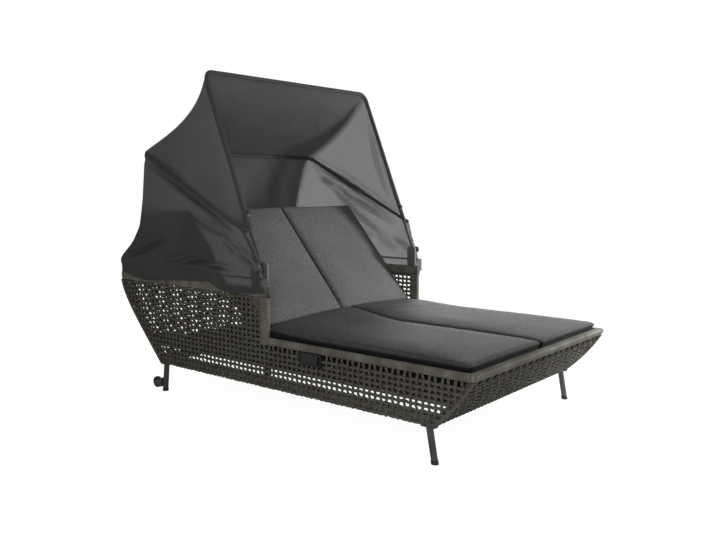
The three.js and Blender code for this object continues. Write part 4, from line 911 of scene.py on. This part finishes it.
farFolds = [
    ([(0.842, 1.210), (0.656, 1.150), (0.520, 1.090), (0.357, 1.000), (0.161, 0.868)], 0.017, 0.010, 0.019),
    ([(0.780, 1.130), (0.600, 1.060), (0.496, 0.998), (0.150, 0.846)], 0.013, 0.010, 0.015),
    ([(0.780, 1.190), (0.700, 1.110), (0.560, 1.000), (0.436, 0.900), (0.205, 0.762)], 0.012, 0.010, 0.013),
    ([(0.343, 1.496), (0.298, 1.293), (0.262, 1.169), (0.190, 1.000)], 0.011, 0.006, 0.008),
    ([(0.560, 0.860), (0.300, 0.760)], 0.012, 0.007, 0.010),
    ([(0.980, 0.710), (0.700, 0.800)], 0.016, 0.006, 0.008),
    ([(0.280, 0.790), (0.130, 0.690)], 0.016, 0.006, 0.009),
    ([(0.160, 0.770), (0.020, 0.700)], 0.014, 0.006, 0.009),
]


def sideFolds(points, sideness):
    # near side folds where x < 0, far side folds where x > 0, each moving the cloth outwards
    y, z = points[..., 1], points[..., 2]
    near = foldField(y, z, nearFolds) * (points[..., 0] < 0)
    far = foldField(y, z, farFolds) * (points[..., 0] > 0)
    return (near + far) * sideness


def stationShares(stations, top, fade):
    # 1 on the legs, falling to 0 over the corner; and 1 across, fading down the legs
    x, p, ex, ep = stations.T
    atCorner = 0.55
    barness = np.where(ep > 0, lerp(atCorner, 1.0, ep), atCorner * np.exp(-np.clip(top - p, 0, None) / fade))
    return np.abs(ex), barness


# roof: a sleeve round the front bow, then the cloth to the mid bow
front = ringStations(bow["frontX"], cloth["frontStart"], bow["frontLength"], bow["frontBend"])
middle = ringStations(bow["midX"], cloth["midStart"], bow["midLength"], bow["midBend"])
sideness, barness = stationShares(front, bow["frontLength"] - bow["frontBend"], cloth["fade"])
frontRing = onBow(front, bow["pivot"], bow["front"], cloth["frontStand"])
midRing = onBow(middle, bow["rivet"], bow["mid"], cloth["midStand"])
frontAxis = onBow(front, bow["pivot"], bow["front"], 0)
behind = np.array([0, math.sin(bow["front"]), -math.cos(bow["front"])])
angles = np.radians(np.linspace(cloth["sleeveTurn"], 0, cloth["sleeveRows"], endpoint=False))[:, None, None]
outFront = squareTo(front, bow["front"])
sleeve = frontAxis[None] + cloth["frontStand"] * (outFront[None] * np.cos(angles) - behind * np.sin(angles))
roofLook = {"out": (0.0, 0.625, 0.781), "sag": 0.046, "edgeSag": 0.060, "edgeReach": 0.20, "sideSag": 0.024, "sideFrom": 2.2,
            "skew": 0.45, "seamDepth": 0.005, "seamPlace": 0.020, "seamWidth": 0.005, "foldsFrom": 0.05, "ripple": 0.0022,
            "rippleAcross": 21, "rippleDown": 5}
roofOut = np.array(roofLook["out"])
s = np.linspace(0, 1, cloth["roofRows"] + 1)[:, None]
base = lerp(frontRing[None], midRing[None], s[..., None])
# the sag is a parabola 4s(1 − s), drawn towards the front by 1 + skew · (1 − 2s)
depth = 4 * s * (1 - s) * (1 + roofLook["skew"] * (0.5 - s) * 2)
edge = np.exp(-((np.abs(front[:, 0]) - bow["frontX"]) / roofLook["edgeReach"]) ** 2)
sag = lerp(roofLook["sag"], roofLook["edgeSag"], edge) * barness
roof = base - roofOut * (sag[None] * depth)[..., None]
reach = np.clip((front[:, 1] - cloth["frontStart"]) / (bow["frontLength"] - cloth["frontStart"]), 0, 1)
inward = roofLook["sideSag"] * sideness * np.clip(reach * roofLook["sideFrom"], 0, 1)[None] * depth
# the sleeve's seam is a narrow dip exp(−((gap − place) / width)²)
fromBow = np.linalg.norm(base - frontRing[None], axis=2)
seam = roofLook["seamDepth"] * np.exp(-((fromBow - roofLook["seamPlace"]) / roofLook["seamWidth"]) ** 2)
folds = sideFolds(roof, sideness[None]) * np.clip(fromBow / roofLook["foldsFrom"], 0, 1)
roof[..., 0] += np.sign(front[:, 2])[None] * (folds - seam * sideness - inward)
roof -= roofOut * (seam * (1 - sideness))[..., None]
ripple = np.sin(front[:, 0][None] * roofLook["rippleAcross"] + s * roofLook["rippleDown"]) * depth * (1 - sideness)
roof += roofOut * (roofLook["ripple"] * ripple)[..., None]
sheet = np.concatenate([sleeve, roof])


def clothPiece(name, grid, body=None):
    # a sheet from a grid of points, with its threads laid out by length both ways
    rows, columns = grid.shape[:2]
    down = np.linalg.norm(np.diff(grid, axis=0), axis=2).mean(axis=1)
    across = np.linalg.norm(np.diff(grid, axis=1), axis=2).max(axis=0)
    u, v = np.concatenate([[0], np.cumsum(down)]), np.concatenate([[0], np.cumsum(across)])
    piece = makePiece(name, grid, [gridQuads(rows, columns)], canopyCloth, body, [gridUv(u, v)])
    wall = piece.modifiers.new("wall", "SOLIDIFY")
    wall.thickness = cloth["thick"]
    wall.offset = -1
    return piece


def flatArea(grid):
    a, b = grid[1:, 1:] - grid[:-1, :-1], grid[1:, :-1] - grid[:-1, 1:]
    return float(np.linalg.norm(np.cross(a, b), axis=2).sum() / 2)


roofPiece = clothPiece("canopyRoof", sheet)
print("roof cloth area", round(flatArea(sheet), 3))
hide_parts("canopy_roof_cloth")

# rear: from the mid bow to a billow over the rim; inset, side and edge are curves through knots
rearLook = {"inset": ([0, 0.12, 0.39, 0.65, 0.79, 0.915, 0.965, 1], [0, 0.004, 0.039, 0.072, 0.050, -0.012, -0.014, 0.002]),
            "side": ([0, 0.15, 0.40, 0.62, 0.80, 0.92, 0.965, 1], [0, 0.012, 0.024, 0.024, 0.010, -0.008, -0.010, 0.002]),
            "edge": ([0.560, 0.589, 0.642, 0.716, 0.774, 0.841, 0.900],
                     [-0.035, -0.033, -0.014, 0.010, 0.034, 0.061, 0.085]),
            "hemZ": 0.641, "stand": 0.003, "bend": 0.042, "pleat": 0.0028, "pleatTurns": 34, "pleatSway": (0.8, 6),
            "pleatFading": 0.7, "sideFrom": 0.35, "edgeReach": 0.09, "ruffle": 0.0022, "ruffleTurns": 160,
            "ruffleReach": 0.05, "hemFade": 0.02, "ruffleFade": 0.05, "pivotX": 0.6095, "pivotReach": 0.030}
hem = ringStations(cloth["sideX"], tray["post"][0], tray["rearY"] + rearLook["stand"], rearLook["bend"])
hemRing = np.column_stack([hem[:, 0], hem[:, 1], np.full(len(hem), rearLook["hemZ"])])
sideness, barness = stationShares(hem, tray["rearY"] - rearLook["bend"], cloth["fade"])
hemSign = np.sign(hem[:, 2])[None]


def smoothSpline(t, knots):
    # a curve through the knots: linear interpolation smoothed by a short moving mean
    count, window = 401, 41
    fine = np.linspace(0, 1, count)
    line = np.interp(fine, *knots)
    kernel = np.hanning(window)
    padded = np.pad(line, window // 2, mode="edge")
    return np.interp(t, fine, np.convolve(padded, kernel / kernel.sum(), mode="valid"))


v = np.linspace(0, 1, cloth["rearRows"] + 1)[:, None]
rear = lerp(midRing[None], hemRing[None], v[..., None])
rear[..., 1] -= smoothSpline(v, rearLook["inset"]) * barness[None]
sway, swayTurns = rearLook["pleatSway"]
pleats = np.sin(hem[:, 0][None] * rearLook["pleatTurns"] + sway * np.sin(v * swayTurns))
pleats = pleats * np.sin(v * math.pi) ** rearLook["pleatFading"] * (1 - sideness)
rear[..., 1] += rearLook["pleat"] * pleats
reach = np.clip(rearLook["sideFrom"] + np.clip(middle[:, 1] / bow["midLength"], 0, 1), 0, 1)
drawn = smoothSpline(v, rearLook["side"]) * sideness * reach[None]
folds = sideFolds(rear, sideness[None]) * np.clip((1 - v) / rearLook["hemFade"], 0, 1)
rear[..., 0] += hemSign * (folds - drawn)
# the free edges beside the step follow the edge curve and are ruffled
fromEdge, onLeg = np.clip(hem[:, 1] - tray["post"][0], 0, None), sideness > 0.99
near = np.exp(-(fromEdge / rearLook["edgeReach"]) ** 2) * onLeg
edgeLine = np.minimum(rear[:, 0, 1], rear[:, -1, 1])[:, None]
rear[..., 1] += near[None] * (np.interp(rear[..., 2], *rearLook["edge"]) - edgeLine)
ruffle = np.sin(rear[..., 2] * rearLook["ruffleTurns"])
ruffle = ruffle * (np.exp(-(fromEdge / rearLook["ruffleReach"]) ** 2) * onLeg)[None]
rear[..., 0] += hemSign * rearLook["ruffle"] * ruffle * np.clip((1 - v) / rearLook["ruffleFade"], 0, 1)
# round the pivots the cloth lies inside the knobs
pivotGap = np.hypot(rear[..., 1] - bow["pivot"][0], rear[..., 2] - bow["pivot"][1])
limit = rearLook["pivotX"] + np.clip(pivotGap - rearLook["pivotReach"], 0, None)
rear[..., 0] = np.clip(rear[..., 0], -limit, limit)
rearPiece = clothPiece("canopyRear", rear)
print("rear cloth area", round(flatArea(rear), 3))
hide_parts("canopy_rear_cloth")

# hem skirt round the rim: its lower edge rises and falls
skirtLook = {"top": 0.650, "rows": 16, "out": 0.0003, "endOut": 0.0005, "past": 0.006,
             "proud": (0.0012, 0.0016, 0.001), "turns": (33, 71),
             "rear": (0.610, 0.592), "low": ([-0.035, 0.05, 0.187, 0.296, 0.330, 0.362, 0.60, 0.895, 1.00, 1.06, 1.12],
                                             [0.584, 0.574, 0.565, 0.574, 0.590, 0.609, 0.594, 0.573, 0.590, 0.606, 0.610])}
skirt = ringStations(cloth["sideX"] + skirtLook["out"], tray["post"][0] - skirtLook["past"],
                     tray["rearY"] + rearLook["stand"] + skirtLook["endOut"], rearLook["bend"])
lowZ = np.interp(skirt[:, 1], *skirtLook["low"])
lowZ = np.where(skirt[:, 3] > 0, lerp(*skirtLook["rear"], skirt[:, 3]), lowZ)
t = np.linspace(0, 1, skirtLook["rows"] + 1)[:, None]
z = lerp(skirtLook["top"], lowZ[None], t)
run = np.concatenate([[0], np.cumsum(np.hypot(np.diff(skirt[:, 0]), np.diff(skirt[:, 1])))])
(even, slow, quick), (slowTurns, quickTurns) = skirtLook["proud"], skirtLook["turns"]
proud = even + slow * np.sin(run * slowTurns)[None] * t + quick * np.sin(run * quickTurns + 1)[None]
x, y = skirt[None, :, 0] + skirt[None, :, 2] * proud, skirt[None, :, 1] + skirt[None, :, 3] * proud
band = np.stack([x, y, z], axis=-1)
skirtPiece = clothPiece("canopySkirt", band, "root")
print("skirt area", round(flatArea(band), 3))
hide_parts("canopy_hem_band")

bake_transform(roofPiece)
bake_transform(rearPiece)

# sleeve of the mid bow
midSleeve = {"start": 0.36, "columns": (50, 14, 90), "girth": 0.0105, "unevenness": 0.0006, "turn": 0.9, "sides": 14}
steps = ringStations(bow["midX"], midSleeve["start"], bow["midLength"], bow["midBend"], midSleeve["columns"])
girth = midSleeve["girth"] + midSleeve["unevenness"] * np.sin(np.arange(len(steps)) * midSleeve["turn"])
squareMid = [0, math.sin(bow["mid"]), -math.cos(bow["mid"])]
axis = onBow(steps, bow["rivet"], bow["mid"], 0)
part = roundTube(axis, squareTo(steps, bow["mid"]), squareMid, girth, midSleeve["sides"])
makePart("midBowSleeve", part, canopyCloth, "mid_bow")

# toggles on the bow legs, each with the end of its strap
toggle = {"x": 0.5835, "y": 0.097, "z": 0.944, "radius": 0.008, "halfLength": 0.011, "strap": (0.006, 0.0012, 0.030),
          "strapBehind": 0.004, "sides": 20, "strapSteps": 6,
          "profile": ([-1.0, -0.85, -0.5, 0.0, 0.5, 0.85, 1.0], [0.35, 0.8, 1.0, 1.0, 1.0, 0.8, 0.35])}
for name, side in sides.items():
    place, girth = np.array(toggle["profile"])
    path = np.array([side * toggle["x"], toggle["y"], toggle["z"]]) + np.outer(place * toggle["halfLength"], [1, 0, 0])
    knob = roundTube(path, [0.0, 1.0, 0.0], [0.0, 0.0, 1.0], girth * toggle["radius"], toggle["sides"])
    wide, thick, long = toggle["strap"]
    heights = np.linspace(toggle["z"] - long, toggle["z"], toggle["strapSteps"])
    behindY = np.full(len(heights), toggle["y"] + toggle["strapBehind"])
    strap = uprightBar(heights, side * toggle["x"], behindY, wide, thick, roped=False)
    makePart(f"bowToggle_{name}", joinParts([knob, strap]), blackPlastic, "front_bow")
print("canopy made")


# foot glides
glide = {"heights": [0.0004, 0.0004, 0.0015, 0.010, 0.016, 0.0168], "sides": 24, "footBelow": 0.002, "legAbove": 0.10,
         "radii": [0.0140, 0.0148, 0.0155, 0.0155, 0.0152, 0.0142]}
parts = []
for node in ("leg_front_left", "leg_front_right", "leg_rear_left", "leg_rear_right"):
    co = pointsOf(nodes[node]).astype(float)
    foot = co[co[:, 2] < glide["footBelow"]].mean(axis=0)
    upper = co[co[:, 2] > glide["legAbove"]].mean(axis=0)
    lean = (upper - foot) / (upper - foot)[2]
    path = foot * [1, 1, 0] + np.outer(glide["heights"], lean)
    parts.append(roundTube(path, [1.0, 0.0, 0.0], [0.0, 1.0, 0.0], np.array(glide["radii"]), glide["sides"]))
makePart("footGlides", joinParts(parts), rubber)

# finishes of the CAD nodes that stay
finishes = [(coatedAndShade, ("leg_", "wheel_fork", "deck_rail", "seat_deck", "rear_cross", "hinge_rail", "backrest_frame",
                      "canopy_front_bow", "canopy_mid_bow")), (rubber, ("wheel_left", "wheel_right")),
            (steel, ("hinge_rod", "strut_rod")), (blackPlastic, ("strut_tube", "release_")), (greyCoat, ("canopy_pivot",)),
            (greyCap, ("canopy_knob",))]
for name, item in nodes.items():
    for material, starts in finishes:
        if name.startswith(starts):
            item.data.materials.clear()
            item.data.materials.append(material)
print("finishes set")


# floor and lamps
lamps = {  # place, width, power, aim
    "key": ((1.35, -1.55, 0.98), 0.4, 64, (0.3, 0.0, 0.6)), "side": ((2.5, 0.9, 1.1), 0.7, 115, (0.6, 0.4, 1.0)),
    "fill": ((-3.4, -2.2, 1.9), 1.4, 78, (0, 0, 0.5)), "top": ((0.2, 0.6, 4.4), 2.4, 12, (0, 0, 0.5))}
for name, (place, width, power, aim) in lamps.items():
    lamp = bpy.data.objects.new(name, bpy.data.lights.new(name, "AREA"))
    lamp.data.shape = "RECTANGLE"
    lamp.data.size = lamp.data.size_y = width
    lamp.data.energy = power
    lamp.visible_camera = False
    lamp.location = place
    lamp.rotation_euler = (Vector(aim) - Vector(place)).to_track_quat("-Z", "Y").to_euler()
    scene.collection.objects.link(lamp)

studio = {"worldLight": 0.30, "worldSeen": 1.02, "paper": 0.9, "paperRough": 0.9, "glow": 1.12, "glowShare": 0.86,
          "reach": 14}
world = bpy.data.worlds.new("studio")
scene.world = world
world.use_nodes = True
tree = world.node_tree
seen = addNode(tree, "LightPath").outputs["Is Camera Ray"]
background = tree.nodes["Background"]
background.inputs["Color"].default_value = (1, 1, 1, 1)
tree.links.new(between(tree, seen, studio["worldLight"], studio["worldSeen"]), background.inputs["Strength"])

floor = bpy.data.objects.new("floor", bpy.data.meshes.new("floor"))
scene.collection.objects.link(floor)
reach, grey = studio["reach"], studio["paper"]
floor.data.from_pydata([(-reach, -reach, 0), (reach, -reach, 0), (reach, reach, 0), (-reach, reach, 0)], [], [(0, 1, 2, 3)])
paper, tree, shader = newMaterial("floorPaper", {"Base Color": (grey, grey, grey, 1), "Roughness": studio["paperRough"]})
seen = addNode(tree, "LightPath").outputs["Is Camera Ray"]
glow = addNode(tree, "Emission", {"Color": (1, 1, 1, 1), "Strength": studio["glow"]})
share = calc(tree, "MULTIPLY", seen, studio["glowShare"])
mixed = addNode(tree, "MixShader", {0: share, 1: shader.outputs[0], 2: glow.outputs[0]})
tree.links.new(mixed.outputs[0], tree.nodes["Material Output"].inputs["Surface"])
floor.data.materials.append(paper)
print("floor and lamps made")
